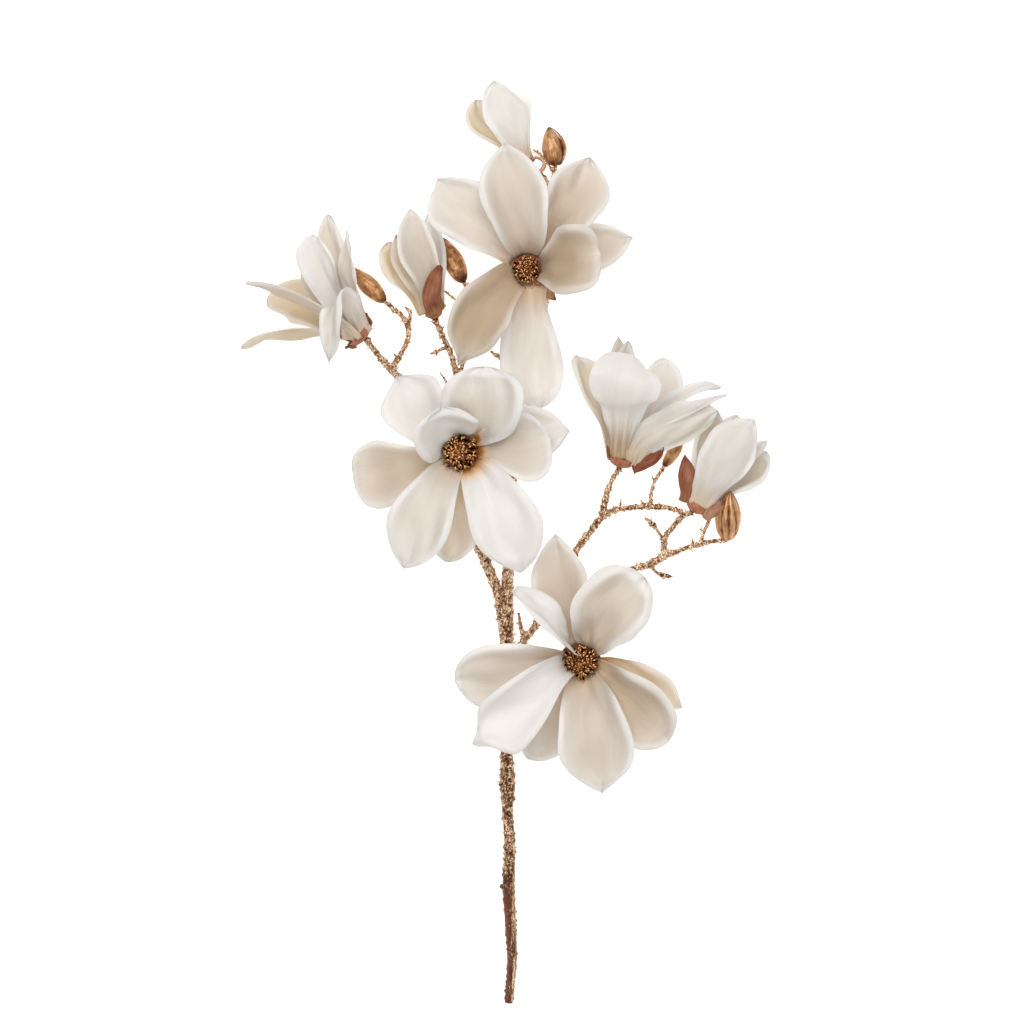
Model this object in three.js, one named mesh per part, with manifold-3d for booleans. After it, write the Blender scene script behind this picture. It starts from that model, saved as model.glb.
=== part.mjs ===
// A gilded magnolia spray lying on a table: eight cream fabric blossoms, five gilt buds and a bronze-gold
// branch. Millimetres, +Z up. The stem runs along +Y, its cut end towards -Y. Every place below is taken from
// one layout point on the table, and the finished group is moved so that its own origin lies under the middle
// of the spray.
import * as THREE from 'three';
import Module from 'manifold-3d';

const wasm = await Module();
wasm.setup();
const { Manifold, Mesh } = wasm;

// Driving dimensions
const GAP = 0.3; // clearance that touching pieces keep
const FABRIC = 1.2; // thickness of a petal
const BRACT = 1.4; // thickness of a brown bract
const BRACT_SEAT = 0.4; // how far its foot reaches into the calyx
const PETAL_COLUMNS = 4; // facets across a petal
const TIP_END = 0.985; // a petal stops just short of its mathematical tip
const CLAW = 13; // width of a petal where it is fixed
const RECEPTACLE = 17; // radius of the disc under an open blossom
const RECEPTACLE_NECK = 3.4; // radius of its stalk
const DISC_DEPTH = 8; // thickness of that disc
const CALYX_DEPTH = 6; // thickness of the one under a blossom seen from the side
const CONE = 10.6; // radius of a stamen cone at its foot
const CONE_HEIGHT = 22;
// Turned profiles, pairs of a share of the greatest radius and a share of the height
const CONE_SHAPE = [[1, 0], [1.06, 0.23], [1.13, 0.45], [0.96, 0.73], [0.53, 0.91], [0.19, 1]];
const BUD_SHAPE = [
  [0.3, 0.01], [0.62, 0.1], [0.9, 0.25], [1, 0.42], [0.9, 0.6], [0.62, 0.8], [0.3, 0.93], [0.06, 1],
];
const DISC_SHAPE = [[0.65, -0.6], [1, -0.35]];
const TUBE_SIDES = 6; // facets round a twig
const TURNED_SIDES = 12; // facets round a bud, a disc or a stamen cone
const LAYOUT = new THREE.Vector3(-6, -32, 0.4); // under the middle of the spray, seen from the layout point

// Colours and finishes
const FINISH = {
  petal: { color: 0xece5da, roughness: 0.75, metalness: 0 },
  bract: { color: 0x8a4a34, roughness: 0.75, metalness: 0 },
  bark: { color: 0xa9764c, roughness: 0.4, metalness: 0.6 },
  bud: { color: 0xa0703f, roughness: 0.4, metalness: 0.6 },
  stamen: { color: 0x6b4a24, roughness: 0.4, metalness: 0.6 },
};

// What a petal is when its own line below doesn't say.
const PETAL = {
  clock: 0, // its place round the ring in degrees, 0 at the blossom's noon, clockwise seen from the front
  ring: 13, // radius of the ring of claws that it stands in
  lift: 0, // how high its claw starts above that ring
  width: 60,
  widest: 0.6, // where it is widest, 0 at the claw and 1 at the tip
  blunt: 0.6, // how pointed its tip is, small for a blunt one
  waist: 0, // how much it narrows towards its claw
  wrap: 42, // how far its edges curl in at the claw, in degrees
  cup: 40, // the same in the blade
  roll: 0, // its turn about its own midrib, in degrees
  flare: 0, // how far its edges bend back, as a share of half its width
  rows: 7, // facets along it
};

// The blossoms. place is the middle of the ring of claws, facing is where the blossom looks and noon is its
// clock's twelve. A petal's path runs from its claw through these points, x y z from the blossom's place.
// neck is the radius of the calyx of a blossom seen from the side, and joined names two of its petals that
// are one piece.
const UP = [0, 0, 1];
const BLOSSOMS = {
  top: {
    place: [13, 219, 50], facing: [0, -0.12, 1], noon: [0, 1, 0],
    petals: [
      { clock: -6, width: 62, cup: 42, widest: 0.56, blunt: 0.85,
        path: [[-4, 24, 22], [-11, 59, 38], [-19, 109, 30]] },
      { clock: 97, width: 66, cup: 50, widest: 0.62, blunt: 0.42,
        path: [[19, 0, 22], [42, 3, 48], [65, 6, 56]] },
      { clock: 220, width: 56, cup: 48, widest: 0.52, blunt: 0.9, roll: 10,
        path: [[-18, -15, 12], [-44, -45, 22], [-62, -88, 10]] },
      { clock: -48, width: 58, widest: 0.66, blunt: 0.4, ring: 15,
        path: [[-23, 20, 10], [-52, 45, 18], [-80, 80, 6]] },
      { clock: 33, widest: 0.64, blunt: 0.5, ring: 15, path: [[17, 25, 10], [37, 57, 16], [56, 99, 8]] },
      { clock: 76, width: 44, cup: 30, widest: 0.55, blunt: 0.95, ring: 16.5,
        path: [[31, 10, 0], [64, 20, 0], [96, 29, -8]] },
      { clock: 174, width: 59, cup: 34, widest: 0.64, blunt: 0.7, ring: 15,
        path: [[1, -28, -4], [5, -68, -10], [14, -124, -22]] },
    ],
  },
  middle: {
    place: [-46, 54, 56], facing: [-0.1, 0, 1], noon: [0, 1, 0],
    petals: [
      { clock: -36, width: 68, cup: 55, blunt: 0.42, ring: 12,
        path: [[-13, 14, 20], [-16, 23, 34], [-17, 38, 46]] },
      { clock: 20, width: 78, cup: 42, widest: 0.62, blunt: 0.42,
        path: [[12, 24, 16], [22, 47, 34], [25, 74, 38]] },
      { clock: 82, width: 68, cup: 42, widest: 0.62, blunt: 0.42,
        path: [[24, 3, 10], [51, 7, 22], [80, 12, 24]] },
      { clock: 152, width: 70, cup: 44, widest: 0.62, blunt: 0.75,
        path: [[15, -21, 14], [33, -59, 30], [53, -108, 18]] },
      { clock: 206, width: 63, cup: 44, widest: 0.62, blunt: 0.5,
        path: [[-14, -24, 14], [-31, -59, 30], [-50, -104, 18]] },
      { clock: -42, width: 56, cup: 38, widest: 0.62, blunt: 0.75, ring: 15,
        path: [[-19, 18, 8], [-38, 38, 14], [-57, 67, 4]] },
      { clock: 260, width: 62, cup: 34, widest: 0.64, blunt: 0.45, ring: 15,
        path: [[-28, -8, 4], [-58, -15, 8], [-97, -18, 0]] },
      { clock: 74, width: 52, cup: 32, widest: 0.56, blunt: 0.9, ring: 16,
        path: [[35, 11, 2], [66, 16, 4], [98, 19, -4]] },
      { clock: 184, width: 50, cup: 30, ring: 16, path: [[-1, -30, 0], [-5, -61, -2], [-13, -99, -12]] },
    ],
  },
  lower: {
    place: [62, -132, 56], facing: [-0.14, -0.22, 1], noon: [0, 1, 0],
    petals: [
      { clock: 40, width: 70, cup: 48, widest: 0.62, blunt: 0.42, flare: 0.2,
        path: [[11, 23, 20], [27, 50, 42], [55, 74, 48]] },
      { clock: -44, width: 48, widest: 0.58, roll: -75, path: [[-15, 19, 28], [-33, 39, 48], [-60, 64, 58]] },
      { clock: 232, width: 62, cup: 48, widest: 0.62,
        path: [[-19, -10, 18], [-53, -37, 36], [-97, -73, 30]] },
      { clock: 168, width: 72, cup: 42, widest: 0.58, blunt: 0.85, ring: 13.5,
        path: [[4, -27, 12], [12, -66, 28], [18, -118, 16]] },
      { clock: 122, width: 62, cup: 44, widest: 0.62, blunt: 0.5, ring: 14,
        path: [[20, -16, 12], [44, -37, 26], [77, -72, 18]] },
      { clock: -12, width: 52, cup: 36, widest: 0.56, blunt: 0.9, ring: 15,
        path: [[-10, 31, 6], [-19, 67, 12], [-23, 112, 4]] },
      { clock: 262, width: 62, cup: 36, widest: 0.62, blunt: 0.5, ring: 15,
        path: [[-32, -4, 4], [-68, -12, 10], [-113, -19, 2]] },
      { clock: 206, width: 50, cup: 28, ring: 16, path: [[-14, -30, -2], [-29, -61, -4], [-48, -91, -14]] },
      { clock: 112, width: 42, cup: 30, widest: 0.56, blunt: 0.9, ring: 16,
        path: [[24, -8, 0], [53, -22, 2], [91, -44, -6]] },
    ],
  },
  left: {
    place: [-137, 161, 36], facing: [-0.76, 0.62, 0.12], noon: UP, neck: 13, joined: [5, 7],
    bracts: [
      { clock: 265, width: 15, path: [[9, 13, 4], [5, 18, 5]] },
      { clock: 70, width: 14, path: [[-9, -11, -2], [-14, -12, -4]] },
    ],
    petals: [
      { clock: 20, width: 29, cup: 45, widest: 0.42, ring: 10.5, rows: 10,
        path: [[-7, 12, 22], [-14, 26, 34], [-19, 22, 42], [-23, -1, 46], [-26, -27, 34]] },
      { clock: 320, width: 44, cup: 45, widest: 0.68, blunt: 0.5, ring: 9,
        path: [[-14, 22, 20], [-31, 53, 32], [-41, 87, 26]] },
      { clock: 40, width: 34, cup: 45, widest: 0.45, roll: 40, ring: 10.5,
        path: [[-27, 12, 18], [-62, 29, 20], [-85, 39, 18], [-102, 45, 16]] },
      { clock: 280, width: 32, cup: 45, widest: 0.55, roll: -30, ring: 10.5,
        path: [[-2, 30, 4], [-9, 65, 4], [-12, 94, -2]] },
      { clock: 110, width: 36, cup: 45, widest: 0.5, roll: -25, ring: 10.5,
        path: [[-18, -3, -8], [-57, -2, -16], [-84, -4, -20], [-111, -11, -24]] },
      { clock: 220, width: 34, cup: 45, roll: -30, ring: 10.5,
        path: [[-14, 31, -8], [-27, 74, -22], [-32, 112, -28]] },
      { clock: 150, width: 54, cup: 35, blunt: 0.5, ring: 10.5,
        path: [[-25, 12, -14], [-57, 30, -26], [-88, 33, -28]] },
    ],
  },
  upper_left: {
    place: [-71, 181, 36], facing: [-0.19, 0.98, 0.05], noon: UP, neck: 8, joined: [3, 4],
    bracts: [{ clock: 330, width: 21, cup: 50, widest: 0.6, blunt: 0.4, path: [[0, 13, 20], [7, 40, 18]] }],
    petals: [
      { clock: 350, width: 38, cup: 60, ring: 6.5, path: [[-2, 25, 14], [-14, 56, 20], [-20, 92, 14]] },
      { clock: 235, width: 32, cup: 45, roll: -20, ring: 6,
        path: [[3, 26, -10], [1, 60, -22], [-6, 91, -28]] },
      { clock: 60, width: 30, cup: 45, roll: -50, ring: 5.5,
        path: [[-12, 24, 2], [-27, 51, 2], [-34, 70, -4]] },
      { clock: 120, width: 40, cup: 45, widest: 0.66, roll: 40, ring: 7.5,
        path: [[-19, 23, -12], [-35, 48, -26], [-42, 67, -32]] },
    ],
  },
  crown: {
    place: [13, 317, 36], facing: [-0.34, 0.94, 0.05], noon: UP, neck: 6.5,
    petals: [
      { clock: 340, width: 54, cup: 50, blunt: 0.5, ring: 5,
        path: [[-5, 19, 18], [-17, 45, 24], [-29, 70, 16]] },
      { clock: 120, width: 44, cup: 50, roll: 40, ring: 5,
        path: [[-16, 20, -12], [-38, 40, -28], [-46, 62, -35]] },
    ],
  },
  right: {
    place: [99, 46, 37], facing: [0.26, 0.96, 0.05], noon: UP, neck: 11, joined: [3, 4],
    bracts: [
      { clock: 290, width: 15, cup: 45, roll: 70, path: [[20, -2, 6], [37, 13, 10]] },
      { clock: 90, width: 16, cup: 30, path: [[-13, 6, 0], [-13, 14, 0]] },
    ],
    petals: [
      { clock: 20, width: 66, wrap: 100, cup: 25, widest: 0.7, blunt: 0.55, roll: -20, waist: 0.4, ring: 8, rows: 12,
        path: [[-1, 27, 22], [0, 44, 28], [0, 52, 46], [0, 70, 58], [0, 89, 50], [0, 97, 34]] },
      { clock: 310, width: 42, cup: 45, roll: 45, ring: 9.5,
        path: [[18, 15, 16], [48, 30, 16], [86, 45, 8]] },
      { clock: 285, width: 20, cup: 45, roll: -45, ring: 8,
        path: [[24, 24, 8], [48, 39, 10], [75, 51, 8], [95, 60, 2]] },
      { clock: 262, width: 18, cup: 45, roll: -45, ring: 8,
        path: [[22, 28, -2], [46, 52, -2], [76, 68, -6], [91, 67, -10]] },
      { clock: 210, width: 46, cup: 45, blunt: 0.5, roll: -35, ring: 9,
        path: [[22, 37, -14], [37, 70, -24], [42, 95, -30]] },
      { clock: 100, width: 38, cup: 45, widest: 0.66, roll: 40, ring: 9,
        path: [[-13, 30, -4], [-28, 67, -12], [-41, 97, -20]] },
      { clock: 165, width: 36, cup: 45, blunt: 0.9, ring: 9,
        path: [[-2, 52, -26], [-1, 89, -34], [-1, 115, -36]] },
    ],
  },
  far_right: {
    place: [167, 5, 37], facing: [0.55, 0.83, 0.08], noon: UP, neck: 10, joined: [3, 4],
    bracts: [
      { clock: 70, width: 18, cup: 40, widest: 0.5, blunt: 0.8, roll: -55,
        path: [[-9, 15, 10], [-11, 46, 8]] },
      { clock: 300, width: 18, cup: 40, roll: 45, path: [[8, -8, 5], [23, 5, 7]] },
    ],
    petals: [
      { clock: 350, width: 54, cup: 55, ring: 8.5, path: [[13, 21, 20], [31, 51, 30], [50, 78, 20]] },
      { clock: 95, width: 40, cup: 45, widest: 0.55, roll: 50, ring: 8.5,
        path: [[5, 24, -4], [9, 56, -10], [20, 88, -18]] },
      { clock: 255, width: 44, cup: 45, widest: 0.62, roll: -40, ring: 8.5,
        path: [[23, 14, -10], [50, 32, -22], [67, 50, -28]] },
      { clock: 175, width: 48, cup: 45, ring: 7.5, path: [[15, 30, -22], [33, 60, -34], [40, 84, -36]] },
    ],
  },
};

// The wood. Each stretch is a list of x y z radius, and the three branches are one solid each. A stretch
// that carries a bud or a calyx ends with its name and the radius there. ends names the blossoms whose discs
// are part of the wood.
const BRANCHES = {
  main_stem: {
    stretches: [
      [[-3, -451, 4, 3.9], [0, -412, 5, 4.4], [-1, -384, 5, 5], [-3, -342, 6, 5.6], [-2, -304, 5, 4.8],
        [-4, -276, 5, 4.6], [-4, -251, 7, 7], [-5, -219, 6, 5.4], [-4, -163, 7, 5.8], [-5, -96, 9, 6.2],
        [-4, -62, 11, 5], [-1, -16, 14, 4.6], [0, 31, 16, 4.5], [4, 66, 18, 4.2], [7, 102, 20, 4],
        [15, 139, 22, 3.8], [22, 168, 24, 3.6], [31, 193, 26, 3.4], [33, 238, 28, 3.2], [34, 279, 30, 3],
        [30, 301, 32, 2.8], [22, 307, 34, 2.6], [15, 312, 35, 3]],
      [[22, 168, 24, 2.6], [19, 185, 31, 2.8], [15, 201, 39, 3.2], [13, 216, 45, 4]],
      [[34, 283, 30, 1.6], [36, 301, 33, 1.6], ['bud_crown', 1.8]],
      [[15, 134, 22, 1.6], [0, 139, 22, 1.4], [-13, 142, 22, 2.2], [-20, 147, 22, 0.6]],
      [[-6, -345, 6, 3], [-11, -343, 8, 1.6]],
    ],
    ends: ['top', 'crown'],
  },
  left_branch: {
    stretches: [
      [[-8, -118, 9, 3.6], [-10, -95, 11, 3.8], [-14, -71, 12, 4.2], [-23, -48, 14, 4.4],
        [-31, -30, 16, 4], [-42, -3, 18, 3.8], [-55, 29, 20, 3.4], [-69, 61, 21, 3.2],
        [-88, 98, 21, 3], [-103, 122, 21, 3.2], [-110, 130, 21, 3.8]],
      [[-110, 130, 21, 3.4], [-121, 142, 25, 2.4], [-128, 151, 30, 2.4], ['left', 2.8]],
      [[-110, 130, 21, 3], [-101, 145, 21, 2.2], [-95, 158, 20, 2.2], [-95, 169, 20, 2.6], [-100, 178, 20, 2],
        [-109, 186, 20, 2], ['bud_left', 2]],
      [[-95, 169, 20, 2], [-93, 181, 21, 1.6], [-97, 187, 22, 1]],
      [[-57, 35, 20, 3], [-49, 79, 20, 2.4], [-50, 119, 20, 2.4], [-54, 138, 20, 2.4], [-59, 152, 22, 2.2],
        [-65, 164, 27, 2.2], ['upper_left', 2.8]],
      [[-58, 150, 21, 1.2], [-65, 148, 21, 1.2], [-69, 146, 21, 2.2], [-75, 144, 21, 0.6]],
      [[-50, 122, 20, 1.8], [-38, 153, 18, 1.8], [-31, 180, 18, 1.8], [-37, 198, 18, 1.8], ['bud_middle', 1.8]],
      [[-35, 195, 18, 1.2], [-49, 193, 18, 1.2], [-62, 202, 18, 0.8]],
      [[-55, 29, 20, 2.8], [-53, 38, 33, 3], [-48, 50, 48, 4]],
      [[-104, 138, 21, 1.6], [-108, 145, 22, 0.4]],
      [[-49, 100, 20, 1.8], [-56, 112, 21, 1.6], [-66, 128, 22, 0.4]],
    ],
    ends: ['middle'],
  },
  right_branch: {
    stretches: [
      [[4, -136, 9, 3.6], [10, -120, 12, 3.2], [20, -106, 14, 3], [33, -85, 15, 3], [46, -58, 16, 3],
        [58, -36, 17, 3], [71, -19, 18, 2.8], [82, -5, 18, 3.2], [92, 1, 18, 2.8], [108, 4, 18, 2.2],
        [126, 5, 18, 2.8], [142, 4, 19, 2.2], [155, 0, 26, 2.4]],
      [[33, -85, 15, 2.8], [44, -102, 20, 2.8], [53, -118, 34, 3], [61, -131, 51, 4]],
      [[82, -5, 18, 2.6], [84, 5, 18, 3], [86, 15, 19, 3], [90, 27, 25, 2], ['right', 2.4]],
      [[126, 5, 18, 2], [127, 16, 18, 1.5], [131, 29, 18, 1.5], ['bud_right', 1.7]],
      [[43, -63, 16, 2.8], [60, -66, 15, 2.8], [86, -62, 14, 2.8], [114, -51, 15, 3], [126, -48, 16, 3.4],
        [140, -40, 16, 3.4], [154, -35, 16, 2], [169, -30, 16, 2.6], [183, -27, 16, 1.9], ['bud_low', 2]],
      [[140, -39, 16, 2.6], [139, -26, 18, 2.4], [146, -14, 25, 2.2], [155, -4, 33, 2.4], ['far_right', 2.8]],
      [[139, -26, 18, 1.2], [132, -16, 18, 1.3], [128, -11, 18, 2.6], [121, -5, 18, 0.6]],
      [[127, -50, 16, 1.3], [133, -56, 16, 1.3], [139, -58, 16, 2.6], [148, -59, 16, 0.6]],
      [[171, -30, 16, 1.8], [176, -17, 16, 1.5], [180, -7, 17, 1.6], [182, 11, 18, 1]],
      [[12, -118, 12, 2], [8, -104, 12, 1.6], [6, -92, 12, 1]],
      [[98, 4, 18, 1.6], [100, 13, 20, 0.4]],
      [[120, 5, 18, 1.6], [118, 12, 19, 0.4]],
      [[131, 27, 18, 1.2], [127, 33, 19, 0.4]],
      [[73, -19, 18, 1.8], [71, -11, 20, 0.4]],
      [[51, -42, 17, 1.8], [47, -31, 18, 0.4]],
      [[166, -31, 16, 1.6], [165, -23, 17, 0.4]],
      [[175, -19, 16, 1.2], [171, -15, 17, 0.4]],
    ],
    ends: ['lower'],
  },
};

// The gilt buds, each from its foot to its tip, with its greatest radius.
const BUDS = {
  bud_left: { foot: [-116, 192, 20], tip: [-148, 224, 20], radius: 8 },
  bud_middle: { foot: [-44, 210, 18], tip: [-63, 251, 14], radius: 8.5 },
  bud_crown: { foot: [40, 314, 34], tip: [33, 349, 34], radius: 9.5 },
  bud_right: { foot: [139, 42, 18], tip: [159, 72, 20], radius: 4.8 },
  bud_low: { foot: [196, -25, 22], tip: [197, 19, 42], radius: 12 },
};

const vector = (list) => new THREE.Vector3(list[0], list[1], list[2]);
const smooth = (low, high, x) => THREE.MathUtils.smoothstep(x, low, high);

// A blossom's own three directions: where it faces, its noon, and east, a quarter turn clockwise of noon.
function compass(blossom) {
  const facing = vector(blossom.facing).normalize();
  const noon = vector(blossom.noon);
  noon.addScaledVector(facing, -noon.dot(facing)).normalize();
  return { facing, noon, east: new THREE.Vector3().crossVectors(noon, facing) };
}

// A closed solid from its points and triangles, whichever way round the triangles run.
function solidFrom(points, triangles) {
  const vertProperties = new Float32Array(points.flatMap((p) => [p.x, p.y, p.z]));
  const made = (list) => {
    const triVerts = new Uint32Array(list.flat());
    return new Manifold(new Mesh({ numProp: 3, vertProperties, triVerts }));
  };
  const solid = made(triangles);
  return solid.volume() > 0 ? solid : made(triangles.map(([a, b, c]) => [a, c, b]));
}

// A petal's middle surface: rows of points from claw to tip. spare widens it all round.
function petalRows(blossom, given, spare) {
  const q = { ...PETAL, ...given };
  const { facing, noon, east } = compass(blossom);
  const clock = THREE.MathUtils.degToRad(q.clock);
  const outward = noon.clone().multiplyScalar(Math.cos(clock)).addScaledVector(east, Math.sin(clock));
  const across = noon.clone().multiplyScalar(-Math.sin(clock)).addScaledVector(east, Math.cos(clock));
  const place = vector(blossom.place);
  const claw = place.clone().addScaledVector(outward, q.ring).addScaledVector(facing, q.lift);
  const stops = [claw, ...q.path.map((p) => vector(p).add(place))];
  const midrib = new THREE.CatmullRomCurve3(stops, false, 'centripetal');
  const skew = Math.log(0.5) / Math.log(q.widest);
  const roll = THREE.MathUtils.degToRad(q.roll);
  const rows = [];
  for (let i = 0; i <= q.rows; i++) {
    const u = (TIP_END * i) / q.rows;
    const along = midrib.getTangentAt(u);
    const side = across.clone().addScaledVector(along, -across.dot(along)).normalize();
    const inner = new THREE.Vector3().crossVectors(side, along);
    const turnedSide = side.clone().multiplyScalar(Math.cos(roll)).addScaledVector(inner, Math.sin(roll));
    const turnedInner = inner.clone().multiplyScalar(Math.cos(roll)).addScaledVector(side, -Math.sin(roll));
    const blunt = PETAL.blunt + (q.blunt - PETAL.blunt) * smooth(0.3, 0.85, u);
    const narrowed = 1 + q.waist * (1 - smooth(0.3, 0.55, u));
    const blade = Math.sin(Math.PI * u ** skew) ** (blunt * narrowed);
    const clawShare = (CLAW / q.width) * (1 - u) ** 2;
    const half = (q.width / 2) * (clawShare + (1 - clawShare) * blade) + spare;
    const opened = smooth(0, 0.4, u);
    const curl = THREE.MathUtils.degToRad(q.wrap * (1 - opened) + q.cup * opened);
    const end = i === 0 ? -spare : i === q.rows ? spare : 0;
    const middle = midrib.getPointAt(u).addScaledVector(along, end);
    const row = [];
    for (let j = 0; j <= PETAL_COLUMNS; j++) {
      const v = (2 * j) / PETAL_COLUMNS - 1;
      const flare = q.flare * half * Math.abs(v) ** 3 * smooth(0.25, 0.9, u);
      const sideways = (half * Math.sin(curl * v)) / curl;
      const inwards = (half * (1 - Math.cos(curl * v))) / curl - flare;
      row.push(middle.clone().addScaledVector(turnedSide, sideways).addScaledVector(turnedInner, inwards));
    }
    rows.push(row);
  }
  return rows;
}

// A thin closed shell on both sides of a surface of rows.
function shell(rows, thickness) {
  const height = rows.length;
  const width = rows[0].length;
  const skins = [[], []];
  for (let i = 0; i < height; i++) {
    for (let j = 0; j < width; j++) {
      const down = rows[Math.min(i + 1, height - 1)][j].clone().sub(rows[Math.max(i - 1, 0)][j]);
      const over = rows[i][Math.min(j + 1, width - 1)].clone().sub(rows[i][Math.max(j - 1, 0)]);
      const normal = over.cross(down).normalize().multiplyScalar(thickness / 2);
      skins[0].push(rows[i][j].clone().add(normal));
      skins[1].push(rows[i][j].clone().sub(normal));
    }
  }
  const under = height * width;
  const at = (i, j) => i * width + j;
  const triangles = [];
  for (let i = 0; i < height - 1; i++) {
    for (let j = 0; j < width - 1; j++) {
      const [a, b, c, d] = [at(i, j), at(i, j + 1), at(i + 1, j + 1), at(i + 1, j)];
      triangles.push([a, b, c], [a, c, d]);
      triangles.push([under + a, under + c, under + b], [under + a, under + d, under + c]);
    }
  }
  const rim = [];
  for (let j = 0; j < width; j++) rim.push(at(0, j));
  for (let i = 1; i < height; i++) rim.push(at(i, width - 1));
  for (let j = width - 2; j >= 0; j--) rim.push(at(height - 1, j));
  for (let i = height - 2; i > 0; i--) rim.push(at(i, 0));
  rim.forEach((a, k) => {
    const b = rim[(k + 1) % rim.length];
    triangles.push([a, under + a, under + b], [a, under + b, b]);
  });
  return solidFrom([...skins[0], ...skins[1]], triangles);
}

function petal(blossom, given, thickness, spare) {
  return shell(petalRows(blossom, given, spare), thickness + 2 * spare);
}

// Where the wood under a bud or a calyx ends, just short of it.
function seat(name) {
  const blossom = BLOSSOMS[name];
  if (!blossom) return vector(BUDS[name].foot);
  return vector(blossom.place).addScaledVector(compass(blossom).facing, -CALYX_DEPTH - GAP);
}

// A round tube through a stretch's points, closed by a flat cap at each end.
function tube(stretch, spare) {
  const stops = stretch.map((stop) => (stop.length === 2 ? seat(stop[0]) : vector(stop)));
  const curve = new THREE.CatmullRomCurve3(stops, false, 'centripetal');
  const steps = stretch.length - 1;
  const points = [];
  const triangles = [];
  let side = new THREE.Vector3(0, 0, 1);
  for (let i = 0; i <= steps; i++) {
    const t = i / steps;
    const along = curve.getTangent(t);
    side = side.clone().addScaledVector(along, -side.dot(along)).normalize();
    const other = new THREE.Vector3().crossVectors(along, side);
    const radius = stretch[i].at(-1) + spare;
    const end = i === 0 ? -spare : i === steps ? spare : 0;
    const middle = curve.getPoint(t).addScaledVector(along, end);
    for (let k = 0; k < TUBE_SIDES; k++) {
      const angle = ((k + 0.5) * 2 * Math.PI) / TUBE_SIDES;
      const out = side.clone().multiplyScalar(radius * Math.cos(angle));
      points.push(middle.clone().add(out).addScaledVector(other, radius * Math.sin(angle)));
    }
  }
  for (let i = 0; i < steps; i++) {
    for (let k = 0; k < TUBE_SIDES; k++) {
      const next = (k + 1) % TUBE_SIDES;
      const [a, b] = [i * TUBE_SIDES + k, i * TUBE_SIDES + next];
      triangles.push([a, b, b + TUBE_SIDES], [a, b + TUBE_SIDES, a + TUBE_SIDES]);
    }
  }
  const last = steps * TUBE_SIDES;
  for (let k = 1; k < TUBE_SIDES - 1; k++) {
    triangles.push([0, k + 1, k], [last, last + k, last + k + 1]);
  }
  return solidFrom(points, triangles);
}

// A turned solid: its profile, pairs of radius and height, stands at a foot and points along an axis.
function turned(profile, foot, axis) {
  const sides = TURNED_SIDES;
  const points = [];
  const triangles = [];
  const up = axis.clone().normalize();
  const turn = new THREE.Quaternion().setFromUnitVectors(new THREE.Vector3(0, 0, 1), up);
  const place = (x, y, z) => new THREE.Vector3(x, y, z).applyQuaternion(turn).add(foot);
  profile.forEach(([radius, height]) => {
    for (let k = 0; k < sides; k++) {
      const angle = (k * 2 * Math.PI) / sides;
      points.push(place(radius * Math.cos(angle), radius * Math.sin(angle), height));
    }
  });
  const floor = points.push(place(0, 0, profile[0][1])) - 1;
  const roof = points.push(place(0, 0, profile.at(-1)[1])) - 1;
  const top = (profile.length - 1) * sides;
  for (let k = 0; k < sides; k++) {
    const next = (k + 1) % sides;
    for (let i = 0; i < profile.length - 1; i++) {
      const [a, b] = [i * sides + k, i * sides + next];
      triangles.push([a, b, b + sides], [a, b + sides, a + sides]);
    }
    triangles.push([floor, next, k], [roof, top + k, top + next]);
  }
  return solidFrom(points, triangles);
}

// The disc that an open blossom's petals and stamen cone stand on, at the end of its stalk.
function receptacle(blossom, spare) {
  const rim = blossom.neck ?? RECEPTACLE;
  const depth = blossom.neck ? CALYX_DEPTH : DISC_DEPTH;
  const under = [[RECEPTACLE_NECK, -depth], ...DISC_SHAPE.map(([r, h]) => [r * rim, h * depth])];
  const widened = under.map(([radius, height]) => [radius + spare, height - spare]);
  const profile = [...widened, [rim + spare, spare - GAP]];
  return turned(profile, vector(blossom.place), compass(blossom).facing);
}

function stamenCone(blossom, spare) {
  const profile = CONE_SHAPE.map(([r, h]) => [r * CONE + spare, h * CONE_HEIGHT + (h > 0 ? spare : -spare)]);
  return turned(profile, vector(blossom.place), compass(blossom).facing);
}

// The receptacle and bracts that hold a blossom seen from the side.
function calyx(blossom, spare) {
  const foot = { ring: blossom.neck - BRACT_SEAT, lift: -BRACT - GAP };
  const bracts = blossom.bracts.map((given) => petal(blossom, { ...foot, ...given }, BRACT, spare));
  return Manifold.union([receptacle(blossom, spare), ...bracts]);
}

function bud({ foot, tip, radius }, spare) {
  const base = vector(foot);
  const axis = vector(tip).sub(base);
  const length = axis.length();
  const profile = BUD_SHAPE.map(([r, h]) => [r * radius + spare, h * length + (h > 0.5 ? spare : -spare)]);
  return turned(profile, base, axis);
}

function branch(name, spare) {
  const { stretches, ends } = BRANCHES[name];
  const tubes = stretches.map((stretch) => tube(stretch, spare));
  const discs = ends.map((end) => receptacle(BLOSSOMS[end], spare));
  return Manifold.union([...tubes, ...discs]);
}

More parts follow.
